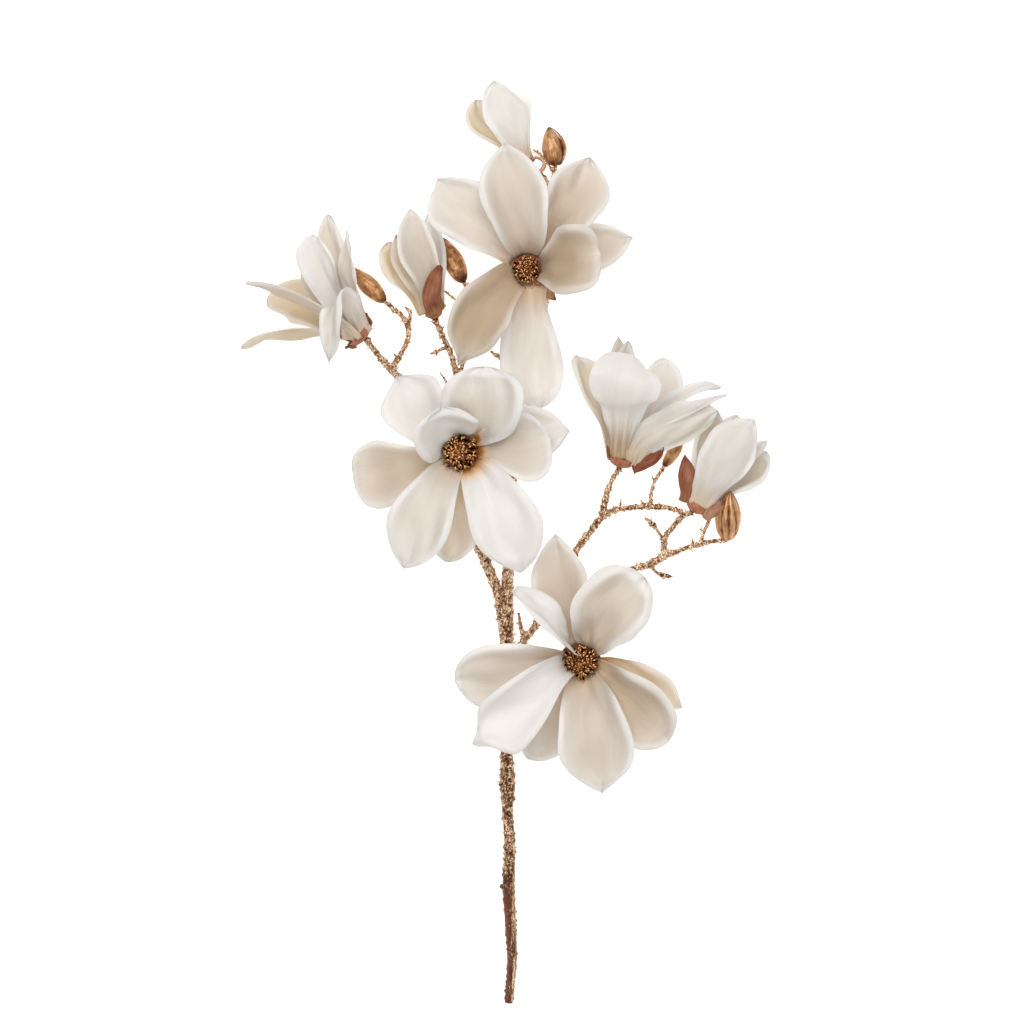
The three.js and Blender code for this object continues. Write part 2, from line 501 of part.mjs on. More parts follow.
// Every piece in the order in which it claims its room: a later piece is cut back to clear the earlier ones.
const pieces = [];
const add = (name, finish, make) => pieces.push({ name, finish, make });
for (const name of Object.keys(BRANCHES)) {
  add(name, 'bark', (spare) => branch(name, spare));
}
for (const [name, given] of Object.entries(BUDS)) {
  add(name, 'bud', (spare) => bud(given, spare));
}
for (const [name, blossom] of Object.entries(BLOSSOMS)) {
  if (blossom.bracts) {
    add(name + '_calyx', 'bract', (spare) => calyx(blossom, spare));
  } else if (!blossom.neck) {
    add(name + '_stamens', 'stamen', (spare) => stamenCone(blossom, spare));
  }
}
for (const [name, blossom] of Object.entries(BLOSSOMS)) {
  const [first, second] = blossom.joined ?? [];
  blossom.petals.forEach((given, i) => {
    if (i + 1 === second) return;
    const sheets = i + 1 === first ? [given, blossom.petals[second - 1]] : [given];
    const make = (spare) => Manifold.union(sheets.map((sheet) => petal(blossom, sheet, FABRIC, spare)));
    add(name + '_petal_' + (i + 1), 'petal', make);
  });
}

function boxesMeet(a, b) {
  const [p, q] = [a.boundingBox(), b.boundingBox()];
  return [0, 1, 2].every((k) => p.min[k] < q.max[k] && q.min[k] < p.max[k]);
}

const largest = (solid) => solid.decompose().sort((a, b) => b.volume() - a.volume())[0];

function meshOf(solid, name, finish) {
  const { vertProperties, triVerts } = solid.getMesh();
  const geometry = new THREE.BufferGeometry();
  geometry.setAttribute('position', new THREE.BufferAttribute(vertProperties, 3));
  geometry.setIndex(new THREE.BufferAttribute(triVerts, 1));
  geometry.computeVertexNormals();
  const mesh = new THREE.Mesh(geometry, new THREE.MeshStandardMaterial(FINISH[finish]));
  mesh.name = name;
  return mesh;
}

const spray = new THREE.Group();
const claimed = [];
for (const { name, finish, make } of pieces) {
  let solid = make(0);
  for (const room of claimed) {
    if (boxesMeet(solid, room)) solid = solid.subtract(room);
  }
  spray.add(meshOf(largest(solid), name, finish));
  claimed.push(make(GAP));
}
spray.position.copy(LAYOUT).negate();

export default spray;
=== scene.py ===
"""Builds a gilded magnolia spray: eight cream fabric blossoms and five gilt buds on a bronze-gold branch.

Every shape is worked out in millimetres from one layout point on the table. It is moved to the packed frame,
in metres, when its mesh is made.
"""

import bpy
import numpy as np
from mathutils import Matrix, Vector


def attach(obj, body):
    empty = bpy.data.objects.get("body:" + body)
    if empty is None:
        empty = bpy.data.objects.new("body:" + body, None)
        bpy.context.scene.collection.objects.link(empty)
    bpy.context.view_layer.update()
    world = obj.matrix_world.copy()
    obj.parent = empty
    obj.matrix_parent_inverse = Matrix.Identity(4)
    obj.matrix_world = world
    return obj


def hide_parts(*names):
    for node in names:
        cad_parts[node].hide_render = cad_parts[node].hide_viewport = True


bl_info = {
    "name": "Magnolia Spray",
    "version": (1, 0, 0),
    "blender": (4, 5, 0),
    "location": "3D Viewport > Sidebar > Magnolia",
    "description": "Builds the petals, wood, buds and stamens of a gilded magnolia spray",
    "category": "Add Mesh",
}

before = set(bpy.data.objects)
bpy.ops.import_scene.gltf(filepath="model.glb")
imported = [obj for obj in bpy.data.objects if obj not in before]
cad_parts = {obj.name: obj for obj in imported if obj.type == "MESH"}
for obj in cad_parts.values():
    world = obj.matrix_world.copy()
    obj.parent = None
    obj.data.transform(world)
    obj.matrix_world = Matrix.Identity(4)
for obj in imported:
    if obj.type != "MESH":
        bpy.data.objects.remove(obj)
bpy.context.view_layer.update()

MM = 0.001
LAYOUT = np.array((-6.0, -32.0, 0.4))  # the frame's origin, seen from the layout point
BODY = "root"
TURN = 2 * np.pi
GOLDEN_ANGLE = np.radians(137.508)

# --------------------------------------------------------------------------------------------------
# The spray's own table of places, in layout millimetres, as the frame has them
# --------------------------------------------------------------------------------------------------

# What a petal is when its own line doesn't say, with lengths in millimetres and angles in degrees.
PETAL = dict(
    clock=0,  # its place round the ring of claws, 0 at the blossom's noon and clockwise from the front
    ring=13,  # how far its claw lies from the blossom's axis
    lift=0,  # and how far in front of the blossom's place
    width=60,
    widest=0.6,  # where it is widest, 0 at the claw and 1 at the tip
    blunt=0.6,  # power of its outline, low for a full, blunt blade and high for a slim, pointed one
    wrap=42,  # how far its edges curl in at the claw
    cup=40,  # and in the blade
    roll=0,  # how far it is turned about its midrib
    flare=0,  # how far its edges bend back, as a share of half its width
    claw=20,  # width of its claw
    cream_and_shade=0.3,  # how creamy it is painted, from 0 for white to 1 for deep cream: partly its cloth's own cream and partly painted shade, set petal by petal to how much shade it lies in
    rim=50,  # how far its edge rolls out again
    lip=1.6,  # height of the lip inside its edge
    broad=1,  # how wide that lip is, as a factor, and how wide and strong the painted highlight along the rim is
    wave=1.3,  # how far its edge swings
    pleat=0.5,  # depth of the folds at its claw
    base=0.24,  # how much darker cream its claw is painted: painted shade where the claws crowd at the blossom's heart
    stain=0.22,  # how brown its claw is: partly a real brown stain, partly a painted warm glow of light reflected onto the shaded claw
    waist=0,  # how much its lower half is narrowed
    beak=0,  # how much its tip is pinched
    dents=1,  # how deep its dents are, as a factor
    yolk=0,  # how yellow it is painted where it is creamy: a painted glow of light coming through it from behind
    left={},  # what is different in the half that lies anticlockwise
    path=(),  # where its midrib runs after its claw, from the blossom's place
)

# A blossom's claws ring its place. facing is where it looks, and noon is where clock 0 points. The ones seen
# from the side have a calyx, neck in radius. joined are two petals that are one node, cup_rise is how far the
# rim of the cup at the foot stands up, and slivers are narrow petals that are no node. A bract takes the
# words of a petal, and red and pale are how much of each colour lies over its brown.
BLOSSOMS = {
    "top": dict(
        place=(13, 219, 50), facing=(0, -0.12, 1), noon=(0, 1, 0),
        petals=[
            dict(clock=-6, width=62, cup=42, widest=0.56, blunt=0.9, cream_and_shade=0.55,
                 left=dict(widest=0.64, blunt=0.95), broad=1.2,
                 path=[(-4, 24, 22), (-11, 59, 38), (-19, 109, 30)]),
            dict(clock=97, width=66, cup=50, widest=0.7, blunt=0.28, cream_and_shade=1.15,
                 left=dict(widest=0.74, blunt=0.22), stain=0.3, broad=1.3,
                 path=[(19, 0, 22), (42, 3, 48), (65, 6, 56)]),
            dict(clock=220, width=56, cup=48, widest=0.52, blunt=1.25, roll=10, cream_and_shade=1.15, lip=1.0,
                 left=dict(lip=3.4, widest=0.58, blunt=0.9), beak=0.2,
                 path=[(-18, -15, 12), (-44, -45, 22), (-62, -88, 10)]),
            dict(clock=-48, width=60, widest=0.62, blunt=1.1, ring=15, cream_and_shade=0.35,
                 left=dict(widest=0.68, blunt=1.0), path=[(-23, 20, 10), (-52, 45, 18), (-80, 80, 6)]),
            dict(clock=33, widest=0.66, blunt=0.8, ring=15, cream_and_shade=0.7, width=66,
                 left=dict(width=50, widest=0.62, blunt=0.9),
                 path=[(17, 25, 10), (37, 57, 16), (56, 99, 8)]),
            dict(clock=76, width=44, cup=30, widest=0.55, blunt=0.95, ring=16.5, cream_and_shade=0.65,
                 path=[(31, 10, 0), (64, 20, 0), (96, 29, -8)]),
            dict(clock=174, width=66, cup=34, widest=0.64, blunt=0.6, ring=15, cream_and_shade=0.2, claw=38, lip=2.4,
                 pleat=1.0, base=0.4, stain=0.3, broad=1.4, left=dict(width=54),
                 path=[(1, -28, -4), (5, -68, -10), (14, -124, -22)]),
        ],
        bracts=[
            dict(clock=135, width=9, cup=40, ring=14, pale=0.7, path=[(20, -21, -4), (26, -28, -2)]),
        ],
    ),
    "middle": dict(
        place=(-46, 54, 56), facing=(-0.1, 0, 1), noon=(0, 1, 0),
        petals=[
            dict(clock=-36, width=68, cup=55, blunt=0.42, ring=12, cream_and_shade=-0.3, stain=0.05, pleat=0.3, base=0,
                 lip=3.0, broad=1.4, path=[(-13, 14, 20), (-16, 23, 34), (-17, 38, 46)]),
            dict(clock=20, width=78, cup=42, widest=0.62, blunt=0.42, cream_and_shade=0.3, lip=2.6, broad=1.5,
                 stain=0.5, path=[(12, 24, 16), (22, 47, 34), (25, 74, 38)]),
            dict(clock=82, width=74, cup=42, widest=0.74, blunt=0.3, cream_and_shade=0.5,
                 left=dict(width=58, widest=0.62, blunt=0.6), stain=1.1,
                 path=[(24, 3, 10), (51, 7, 22), (80, 12, 24)]),
            dict(clock=152, width=54, cup=44, widest=0.6, blunt=0.95, cream_and_shade=-0.1,
                 left=dict(width=76, widest=0.62, blunt=0.62), lip=2.6, broad=1.5, base=0.1, stain=0.7,
                 path=[(15, -21, 14), (33, -59, 30), (53, -108, 18)]),
            dict(clock=206, width=62, cup=44, widest=0.62, blunt=0.72, cream_and_shade=0.3,
                 left=dict(width=54, widest=0.64, blunt=0.78), stain=0.3,
                 path=[(-14, -24, 14), (-31, -59, 30), (-50, -104, 18)]),
            dict(clock=-42, width=62, cup=38, widest=0.62, blunt=0.95, ring=15, cream_and_shade=0.1,
                 path=[(-19, 18, 8), (-38, 38, 14), (-57, 67, 4)]),
            dict(clock=260, width=54, cup=34, widest=0.7, blunt=0.34, ring=15, cream_and_shade=0.75,
                 left=dict(width=70, widest=0.68, blunt=0.4), stain=0.1,
                 path=[(-28, -8, 4), (-58, -15, 8), (-97, -18, 0)]),
            dict(clock=74, width=52, cup=32, widest=0.56, blunt=0.9, ring=16, cream_and_shade=0.25,
                 path=[(35, 11, 2), (66, 16, 4), (98, 19, -4)]),
            dict(clock=184, width=50, cup=30, ring=16, cream_and_shade=0.4, base=0.3, yolk=0.6,
                 path=[(-1, -30, 0), (-5, -61, -2), (-13, -99, -12)]),
        ],
    ),
    "lower": dict(
        place=(62, -132, 56), facing=(-0.14, -0.22, 1), noon=(0, 1, 0),
        petals=[
            dict(clock=40, width=70, cup=48, widest=0.62, blunt=0.42, flare=0.2, cream_and_shade=0.55, lip=3.6,
                 broad=2.0, left=dict(lip=2.0), stain=0.2, path=[(11, 23, 20), (27, 50, 42), (55, 74, 48)]),
            dict(clock=-44, width=48, widest=0.58, roll=-75, cream_and_shade=-0.1, blunt=0.5, stain=0.05, base=0,
                 path=[(-15, 19, 28), (-33, 39, 48), (-60, 64, 58)]),
            dict(clock=232, width=54, cup=48, widest=0.62, cream_and_shade=-0.2, blunt=0.6,
                 left=dict(width=64, widest=0.74, blunt=0.36), lip=2.2, base=0.1, stain=0.2, beak=0.6,
                 path=[(-19, -10, 18), (-53, -37, 36), (-97, -73, 30)]),
            dict(clock=168, width=70, cup=42, widest=0.6, blunt=0.75, ring=13.5, cream_and_shade=0.5, stain=0.35,
                 beak=0.2, path=[(4, -27, 12), (12, -66, 28), (18, -118, 16)]),
            dict(clock=122, width=62, cup=44, widest=0.62, blunt=0.42, ring=14, cream_and_shade=0.85,
                 left=dict(lip=3.0, widest=0.62, blunt=0.6), broad=1.5, stain=0.4,
                 path=[(20, -16, 12), (44, -37, 26), (77, -72, 18)]),
            dict(clock=-12, width=52, cup=36, widest=0.56, blunt=0.9, ring=15, cream_and_shade=0.65,
                 path=[(-10, 31, 6), (-19, 67, 12), (-23, 112, 4)]),
            dict(clock=262, width=62, cup=36, widest=0.62, blunt=0.5, ring=15, cream_and_shade=0.45,
                 path=[(-32, -4, 4), (-68, -12, 10), (-113, -19, 2)]),
            dict(clock=206, width=50, cup=28, ring=16, cream_and_shade=0.5,
                 path=[(-14, -30, -2), (-29, -61, -4), (-48, -91, -14)]),
            dict(clock=112, width=42, cup=30, widest=0.56, blunt=0.9, ring=16, cream_and_shade=0.6, base=0.6,
                 stain=0.5, yolk=0.7, path=[(24, -8, 0), (53, -22, 2), (91, -44, -6)]),
        ],
    ),
    "left": dict(
        place=(-137, 161, 36), facing=(-0.76, 0.62, 0.12), noon=(0, 0, 1),
        neck=13, joined=(5, 7), cup_rise=2.4,
        petals=[
            dict(clock=20, width=29, cup=45, widest=0.42, ring=10.5, cream_and_shade=0.3, claw=32, blunt=0.75,
                 pleat=1.2,
                 path=[(-7, 12, 22), (-14, 26, 34), (-19, 22, 42), (-23, -1, 46), (-26, -27, 34)]),
            dict(clock=320, width=44, cup=45, widest=0.68, blunt=0.5, ring=9, cream_and_shade=0.15,
                 path=[(-14, 22, 20), (-31, 53, 32), (-41, 87, 26)]),
            dict(clock=40, width=34, cup=45, widest=0.45, roll=40, ring=10.5, cream_and_shade=0.7, yolk=0.2,
                 path=[(-27, 12, 18), (-62, 29, 20), (-85, 39, 18), (-102, 45, 16)]),
            dict(clock=280, width=32, cup=45, widest=0.55, roll=-30, ring=10.5, cream_and_shade=0.4,
                 path=[(-2, 30, 4), (-9, 65, 4), (-12, 94, -2)]),
            dict(clock=110, width=36, cup=45, widest=0.5, roll=-25, ring=10.5, cream_and_shade=0.6, yolk=0.7,
                 path=[(-18, -3, -8), (-57, -2, -16), (-84, -4, -20), (-111, -11, -24)]),
            dict(clock=220, width=34, cup=45, roll=-30, ring=10.5, cream_and_shade=0.45, yolk=0.2,
                 path=[(-14, 31, -8), (-27, 74, -22), (-32, 112, -28)]),
            dict(clock=150, width=54, cup=35, blunt=0.5, ring=10.5, cream_and_shade=0.6, base=0.5, yolk=1.0,
                 path=[(-25, 12, -14), (-57, 30, -26), (-88, 33, -28)]),
        ],
        slivers=[
            dict(clock=0, width=28, cup=45, roll=-20, ring=10, cream_and_shade=0.6, yolk=1.0,
                 path=[(-14, 14, 4), (-33, 36, 6), (-53, 60, 0)]),
        ],
        bracts=[
            dict(clock=265, width=15, red=0.5, claw=9, path=[(9, 13, 4), (5, 18, 5)]),
            dict(clock=70, width=8, red=0.5, claw=7, path=[(-9, -11, -2), (-14, -12, -4)]),
        ],
    ),
    "upper_left": dict(
        place=(-71, 181, 36), facing=(-0.19, 0.98, 0.05), noon=(0, 0, 1),
        neck=8, joined=(3, 4), cup_rise=2,
        petals=[
            dict(clock=350, width=38, cup=60, ring=6.5, cream_and_shade=0.6, base=0.4,
                 path=[(-2, 25, 14), (-14, 56, 20), (-20, 92, 14)]),
            dict(clock=235, width=32, cup=45, roll=-20, ring=6, cream_and_shade=0.2,
                 path=[(3, 26, -10), (1, 60, -22), (-6, 91, -28)]),
            dict(clock=60, width=30, cup=45, roll=-50, ring=5.5, cream_and_shade=0.7, base=0.3, yolk=0.85,
                 path=[(-12, 24, 2), (-27, 51, 2), (-34, 70, -4)]),
            dict(clock=120, width=40, cup=45, widest=0.66, roll=40, ring=7.5, cream_and_shade=0.6, base=0.3, yolk=1.0,
                 path=[(-19, 23, -12), (-35, 48, -26), (-42, 67, -32)]),
        ],
        bracts=[
            dict(clock=330, width=20, cup=50, widest=0.3, blunt=0.3, claw=26,
                 path=[(0, 13, 20), (7, 40, 18)]),
        ],
    ),
    "crown": dict(
        place=(13, 317, 36), facing=(-0.34, 0.94, 0.05), noon=(0, 0, 1),
        neck=6.5, cup_rise=1.5,
        petals=[
            dict(clock=340, width=46, cup=50, blunt=0.5, ring=5, cream_and_shade=0.15, claw=15,
                 left=dict(width=57, widest=0.6, blunt=0.7, waist=1.5),
                 path=[(-5, 19, 18), (-17, 45, 24), (-29, 70, 16)]),
            dict(clock=120, width=44, cup=50, roll=40, ring=5, cream_and_shade=0.6, base=0.3, yolk=0.8, claw=15,
                 path=[(-16, 20, -12), (-38, 40, -28), (-46, 62, -35)]),
        ],
        bracts=[
            dict(clock=270, width=8, claw=7, cup=30, ring=5, widest=0.5, blunt=0.3, pale=1,
                 path=[(9, 2.5, 7), (14, 1, 8), (15.5, -4, 8), (12, -8, 7), (7, -7, 6), (5.5, -3, 5)]),
        ],
    ),
    "right": dict(
        place=(99, 46, 37), facing=(0.26, 0.96, 0.05), noon=(0, 0, 1),
        neck=11, joined=(3, 4), cup_rise=2.2,
        petals=[
            dict(clock=20, width=66, wrap=100, cup=25, widest=0.7, blunt=0.6, roll=-17, waist=0.4, ring=8,
                 cream_and_shade=0.1, base=0.9, pleat=2.6, wave=0.3, rim=10, lip=0, dents=0.4, claw=32,
                 left=dict(width=64, widest=0.7, blunt=0.5),
                 path=[(-1, 27, 22), (0, 44, 28), (0, 52, 46), (1, 70, 57), (4, 87, 50), (8, 94, 36)]),
            dict(clock=310, width=42, cup=45, roll=45, ring=9.5, cream_and_shade=0.2, base=0.4, yolk=0.3,
                 path=[(18, 15, 16), (48, 30, 16), (86, 45, 8)]),
            dict(clock=285, width=20, cup=45, roll=-45, ring=8, cream_and_shade=0.2,
                 path=[(24, 24, 8), (48, 39, 10), (75, 51, 8), (95, 60, 2)]),
            dict(clock=262, width=18, cup=45, roll=-45, ring=8, cream_and_shade=0.2,
                 path=[(22, 28, -2), (46, 52, -2), (76, 68, -6), (91, 67, -10)]),
            dict(clock=210, width=46, cup=45, blunt=0.5, roll=-35, ring=9, cream_and_shade=0.3,
                 path=[(22, 37, -14), (37, 70, -24), (42, 95, -30)]),
            dict(clock=100, width=38, cup=45, widest=0.66, roll=40, ring=9, cream_and_shade=0.5, yolk=0.5,
                 path=[(-13, 30, -4), (-28, 67, -12), (-41, 97, -20)]),
            dict(clock=165, width=36, cup=45, blunt=0.9, ring=9, cream_and_shade=0.7, yolk=0.4,
                 path=[(-2, 52, -26), (-1, 89, -34), (-1, 115, -36)]),
        ],
        slivers=[
            dict(clock=190, width=26, cup=45, ring=9, cream_and_shade=0.6,
                 path=[(2, 50, -22), (5, 90, -30), (8, 111, -31)]),
        ],
        bracts=[
            dict(clock=290, width=15, cup=45, roll=70, red=1, path=[(20, -2, 6), (37, 13, 10)]),
            dict(clock=90, width=10, cup=30, red=0.4, claw=8, path=[(-13, 6, 0), (-13, 14, 0)]),
        ],
    ),
    "far_right": dict(
        place=(167, 5, 37), facing=(0.55, 0.83, 0.08), noon=(0, 0, 1),
        neck=10, joined=(3, 4), cup_rise=4,
        petals=[
            dict(clock=350, width=54, cup=55, ring=8.5, cream_and_shade=0.2, base=0.3,
                 path=[(13, 21, 20), (31, 51, 30), (50, 78, 20)]),
            dict(clock=95, width=40, cup=45, widest=0.55, roll=50, ring=8.5, cream_and_shade=0.4, yolk=0.5,
                 path=[(5, 24, -4), (9, 56, -10), (20, 88, -18)]),
            dict(clock=255, width=44, cup=45, widest=0.62, roll=-40, ring=8.5, cream_and_shade=0.3, yolk=0.3,
                 path=[(23, 14, -10), (50, 32, -22), (67, 50, -28)]),
            dict(clock=175, width=48, cup=45, ring=7.5, cream_and_shade=0.4,
                 path=[(15, 30, -22), (33, 60, -34), (40, 84, -36)]),
        ],
        slivers=[
            dict(clock=250, width=26, cup=45, roll=-30, ring=9, cream_and_shade=0.5,
                 path=[(25, 24, -12), (50, 46, -24), (67, 60, -28)]),
        ],
        bracts=[
            dict(clock=70, width=18, cup=40, widest=0.5, blunt=0.8, roll=-55, red=0.15,
                 path=[(-9, 15, 10), (-11, 46, 8)]),
            dict(clock=300, width=18, cup=40, roll=45, pale=0.35, claw=13, path=[(8, -8, 5), (23, 5, 7)]),
        ],
    ),
}

# Stretches of wood. Each is a line of stops, a place and the radius there. A name stands for the place where
# the foot of that bud or calyx is.
WOOD = {
    "main_stem": [
        [(-3, -451, 4, 3.9), (0, -412, 5, 4.4), (-1, -384, 5, 5), (-3, -342, 6, 5.6), (-2, -304, 5, 4.8),
         (-4, -276, 5, 4.6), (-4, -251, 7, 7), (-5, -219, 6, 5.4), (-4, -163, 7, 5.8), (-5, -96, 9, 6.2),
         (-4, -62, 11, 5), (-1, -16, 14, 4.6), (0, 31, 16, 4.5), (4, 66, 18, 4.2), (7, 102, 20, 4),
         (15, 139, 22, 3.8), (22, 168, 24, 3.6), (31, 193, 26, 3.4), (33, 238, 28, 3.2), (34, 279, 30, 3),
         (30, 301, 32, 2.8), (22, 307, 34, 2.6), (15, 312, 35, 3)],
        [(22, 168, 24, 2.6), (19, 185, 31, 2.8), (15, 201, 39, 3.2), (13, 216, 45, 4)],
        [(34, 283, 30, 1.6), (36, 301, 33, 1.6), ("bud_crown", 1.8)],
        [(15, 134, 22, 1.6), (0, 139, 22, 1.4), (-13, 142, 22, 2.2), (-20, 147, 22, 0.6)],
        [(-6, -345, 6, 3), (-11, -343, 8, 1.6)],
        [(37, 309, 33, 1.3), (31, 318, 35, 1.0), (25, 324, 36, 1.3), (18, 329, 37, 0.5)],
    ],
    "left_branch": [
        [(-8, -118, 9, 3.6), (-10, -95, 11, 3.8), (-14, -71, 12, 4.2), (-23, -48, 14, 4.4),
         (-31, -30, 16, 4), (-42, -3, 18, 3.8), (-55, 29, 20, 3.4), (-69, 61, 21, 3.2), (-88, 98, 21, 3),
         (-103, 122, 21, 3.2), (-110, 130, 21, 3.8)],
        [(-110, 130, 21, 3.4), (-121, 142, 25, 2.4), (-128, 151, 30, 2.4), ("left", 2.8)],
        [(-110, 130, 21, 3), (-101, 145, 21, 2.2), (-95, 158, 20, 2.2), (-95, 169, 20, 2.6),
         (-100, 178, 20, 2), (-109, 186, 20, 2), ("bud_left", 2)],
        [(-95, 169, 20, 2), (-93, 181, 21, 1.6), (-97, 187, 22, 1)],
        [(-57, 35, 20, 3), (-49, 79, 20, 2.4), (-50, 119, 20, 2.4), (-54, 138, 20, 2.4),
         (-59, 152, 22, 2.2), (-65, 164, 27, 2.2), ("upper_left", 2.8)],
        [(-58, 150, 21, 1.2), (-65, 148, 21, 1.2), (-69, 146, 21, 2.2), (-75, 144, 21, 0.6)],
        [(-50, 122, 20, 1.8), (-38, 153, 18, 1.8), (-31, 180, 18, 1.8), (-37, 198, 18, 1.8),
         ("bud_middle", 1.8)],
        [(-35, 195, 18, 1.2), (-49, 193, 18, 1.2), (-62, 202, 18, 0.8)],
        [(-55, 29, 20, 2.8), (-53, 38, 33, 3), (-48, 50, 48, 4)],
        [(-104, 138, 21, 1.6), (-108, 145, 22, 0.4)],
        [(-49, 100, 20, 1.8), (-56, 112, 21, 1.6), (-66, 128, 22, 0.4)],
    ],
    "right_branch": [
        [(4, -136, 9, 3.6), (10, -120, 12, 3.2), (20, -106, 14, 3), (33, -85, 15, 3), (46, -58, 16, 3),
         (58, -36, 17, 3), (71, -19, 18, 2.8), (82, -5, 18, 3.2), (92, 1, 18, 2.8), (108, 4, 18, 2.2),
         (126, 5, 18, 2.8), (142, 4, 19, 2.2), (155, 0, 26, 2.4)],
        [(33, -85, 15, 2.8), (44, -102, 20, 2.8), (53, -118, 34, 3), (61, -131, 51, 4)],
        [(82, -5, 18, 2.6), (84, 5, 18, 3), (86, 15, 19, 3), (90, 27, 25, 2), ("right", 2.4)],
        [(126, 5, 18, 2), (127, 16, 18, 1.5), (131, 29, 18, 1.5), ("bud_right", 1.7)],
        [(43, -63, 16, 2.8), (60, -66, 15, 2.8), (86, -62, 14, 2.8), (114, -51, 15, 3),
         (126, -48, 16, 3.4), (140, -40, 16, 3.4), (154, -35, 16, 2), (169, -30, 16, 2.6),
         (183, -27, 16, 1.9), ("bud_low", 2)],
        [(140, -39, 16, 2.6), (139, -26, 18, 2.4), (146, -14, 25, 2.2), (155, -4, 33, 2.4),
         ("far_right", 2.8)],
        [(139, -26, 18, 1.2), (132, -16, 18, 1.3), (128, -11, 18, 2.6), (121, -5, 18, 0.6)],
        [(127, -50, 16, 1.3), (133, -56, 16, 1.3), (139, -58, 16, 2.6), (148, -59, 16, 0.6)],
        [(171, -30, 16, 1.8), (176, -17, 16, 1.5), (180, -7, 17, 1.6), (182, 11, 18, 1)],
        [(12, -118, 12, 2), (8, -104, 12, 1.6), (6, -92, 12, 1)],
        [(98, 4, 18, 1.6), (100, 13, 20, 0.4)],
        [(120, 5, 18, 1.6), (118, 12, 19, 0.4)],
        [(131, 27, 18, 1.2), (127, 33, 19, 0.4)],
        [(73, -19, 18, 1.8), (71, -11, 20, 0.4)],
        [(51, -42, 17, 1.8), (47, -31, 18, 0.4)],
        [(166, -31, 16, 1.6), (165, -23, 17, 0.4)],
        [(175, -19, 16, 1.2), (171, -15, 17, 0.4)],
    ],
}

# radius is a bud's greatest, grooves how many run along it, and dull how little its gilding shines. A scale
# is how far it lifts off the bud, the angle that it lies at, how far it reaches to either side of it, in
# degrees, and the shares of the bud's length where it starts and ends.
BUDS = {
    "bud_left": dict(foot=(-116, 192, 20), tip=(-148, 224, 20), radius=8, dull=0.5),
    "bud_middle": dict(
        foot=(-44, 210, 18), tip=(-63, 251, 14), radius=8.5, dull=0.6, scales=((0.5, 330, 78, 0.02, 0.8),)
    ),
    "bud_crown": dict(
        foot=(40, 314, 34), tip=(33, 349, 34), radius=9.5, dull=0.38, scales=((2.6, 92, 34, 0.0, 0.99),)
    ),
    "bud_right": dict(
        foot=(139, 42, 18), tip=(159, 72, 20), radius=4.8, dull=0.2,
        scales=((0.4, 300, 66, 0.0, 0.85), (0.5, 60, 60, 0.0, 0.66)),
    ),
    "bud_low": dict(foot=(196, -25, 22), tip=(197, 19, 42), radius=12, grooves=9, dull=0.1),
}

STAMENS = {"top": 0.9, "middle": 1.28, "lower": 1.18}  # how wide each cone of stamens spreads

CALYX_DEPTH = 6  # thickness of the disc under a blossom seen from the side
DISC_DEPTH = 8  # and of the one under an open blossom
DISC_RADIUS = 17  # its own radius
DISC_RISE = 0.6  # and how far its rim stands up
GAP = 0.3  # clearance that touching pieces keep
BRACT_SEAT = 0.4  # how far a bract's foot reaches into its calyx
BRACT_THICKNESS = 1.4

# A bud's profile: shares of its length, and the shares of its greatest radius there.
BUD_PROFILE = (
    (0, 0.04, 0.12, 0.24, 0.4, 0.54, 0.68, 0.81, 0.91, 0.97, 1),
    (0.28, 0.5, 0.72, 0.9, 1, 0.96, 0.82, 0.6, 0.36, 0.15, 0.04),
)

# A cup's profile from just outside its foot, over the rim and down inside: shares of its radius, and heights
# as shares of its depth where they are below 0 and of its rise where they are above.
CUP_PROFILE = (
    (0.5, -0.86), (0.82, -0.6), (0.98, -0.25), (1.03, 0.25), (1.06, 0.7), (1.07, 0.94), (1.03, 1.0),
    (0.97, 0.9), (0.93, 0.4), (0.9, 0.02), (0.4, 0.0),
)
CUP_FOOT = 3.2  # radius at its very foot

# The core under a cone of stamens: its radii and heights where the cone's spread is 1.
CORE_PROFILE = ((8.6, 0), (9.6, 4), (9.8, 8), (8.6, 12), (5.6, 15), (2.4, 16.6), (0.5, 17))
STAMEN_PROFILE = (0.7, 0.85, 1, 1.1, 1.1, 0.9, 0.4)  # a stamen's thickness along it, as factors

# How finely the pieces are cut: rows along them and points across or round them.
PETAL_ROWS, PETAL_COLUMNS = 60, 41
SCALE_ROWS, SCALE_COLUMNS = 26, 17
BUD_ROWS, BUD_SIDES = 44, 96
CUP_SIDES = 72
CORE_SIDES = 28
STALK_SIDES = 6  # of a stamen and of a thorn

# Where the random seeds of each kind of piece start. A petal's own is its number.
SLIVER_SEED, STAMEN_SEED, CUP_SEED, BRACT_SEED, WOOD_SEED = 20, 40, 70, 90, 500

DENTS = 4  # sines that make up a petal's dents
CALM = (-338, -350)  # where the stem's bark turns smooth towards its cut end, on the layout's y axis
THORNS_END = -330  # below it the stem has no thorns
LOW_END = (-0.3, -0.33)  # where the gilding turns to smooth streaks, in metres on the frame's y axis
SHADED = (0.0065, 0.0025)  # and where painted shade darkens its left side there, on the x axis
DULLED = (0.0, -0.2)  # where it grows duller, on the y axis

# The stage, in metres. A lamp is its side and its place.
TABLE_HALF = 4.0
SENSOR_WIDTH = 36.0  # in millimetres
CLIP_END = 20.0
LAMPS = {"key": (1.5, (-0.25, 0.85, 1.75)), "fill": (1.2, (0.6, -0.65, 1.5))}


# --------------------------------------------------------------------------------------------------
# Shapes as whole arrays
# --------------------------------------------------------------------------------------------------


def smooth(low, high, x):
    """0 up to low, 1 from high on, and 3t^2 - 2t^3 between them."""
    t = np.clip((x - low) / (high - low), 0, 1)
    return t * t * (3 - 2 * t)


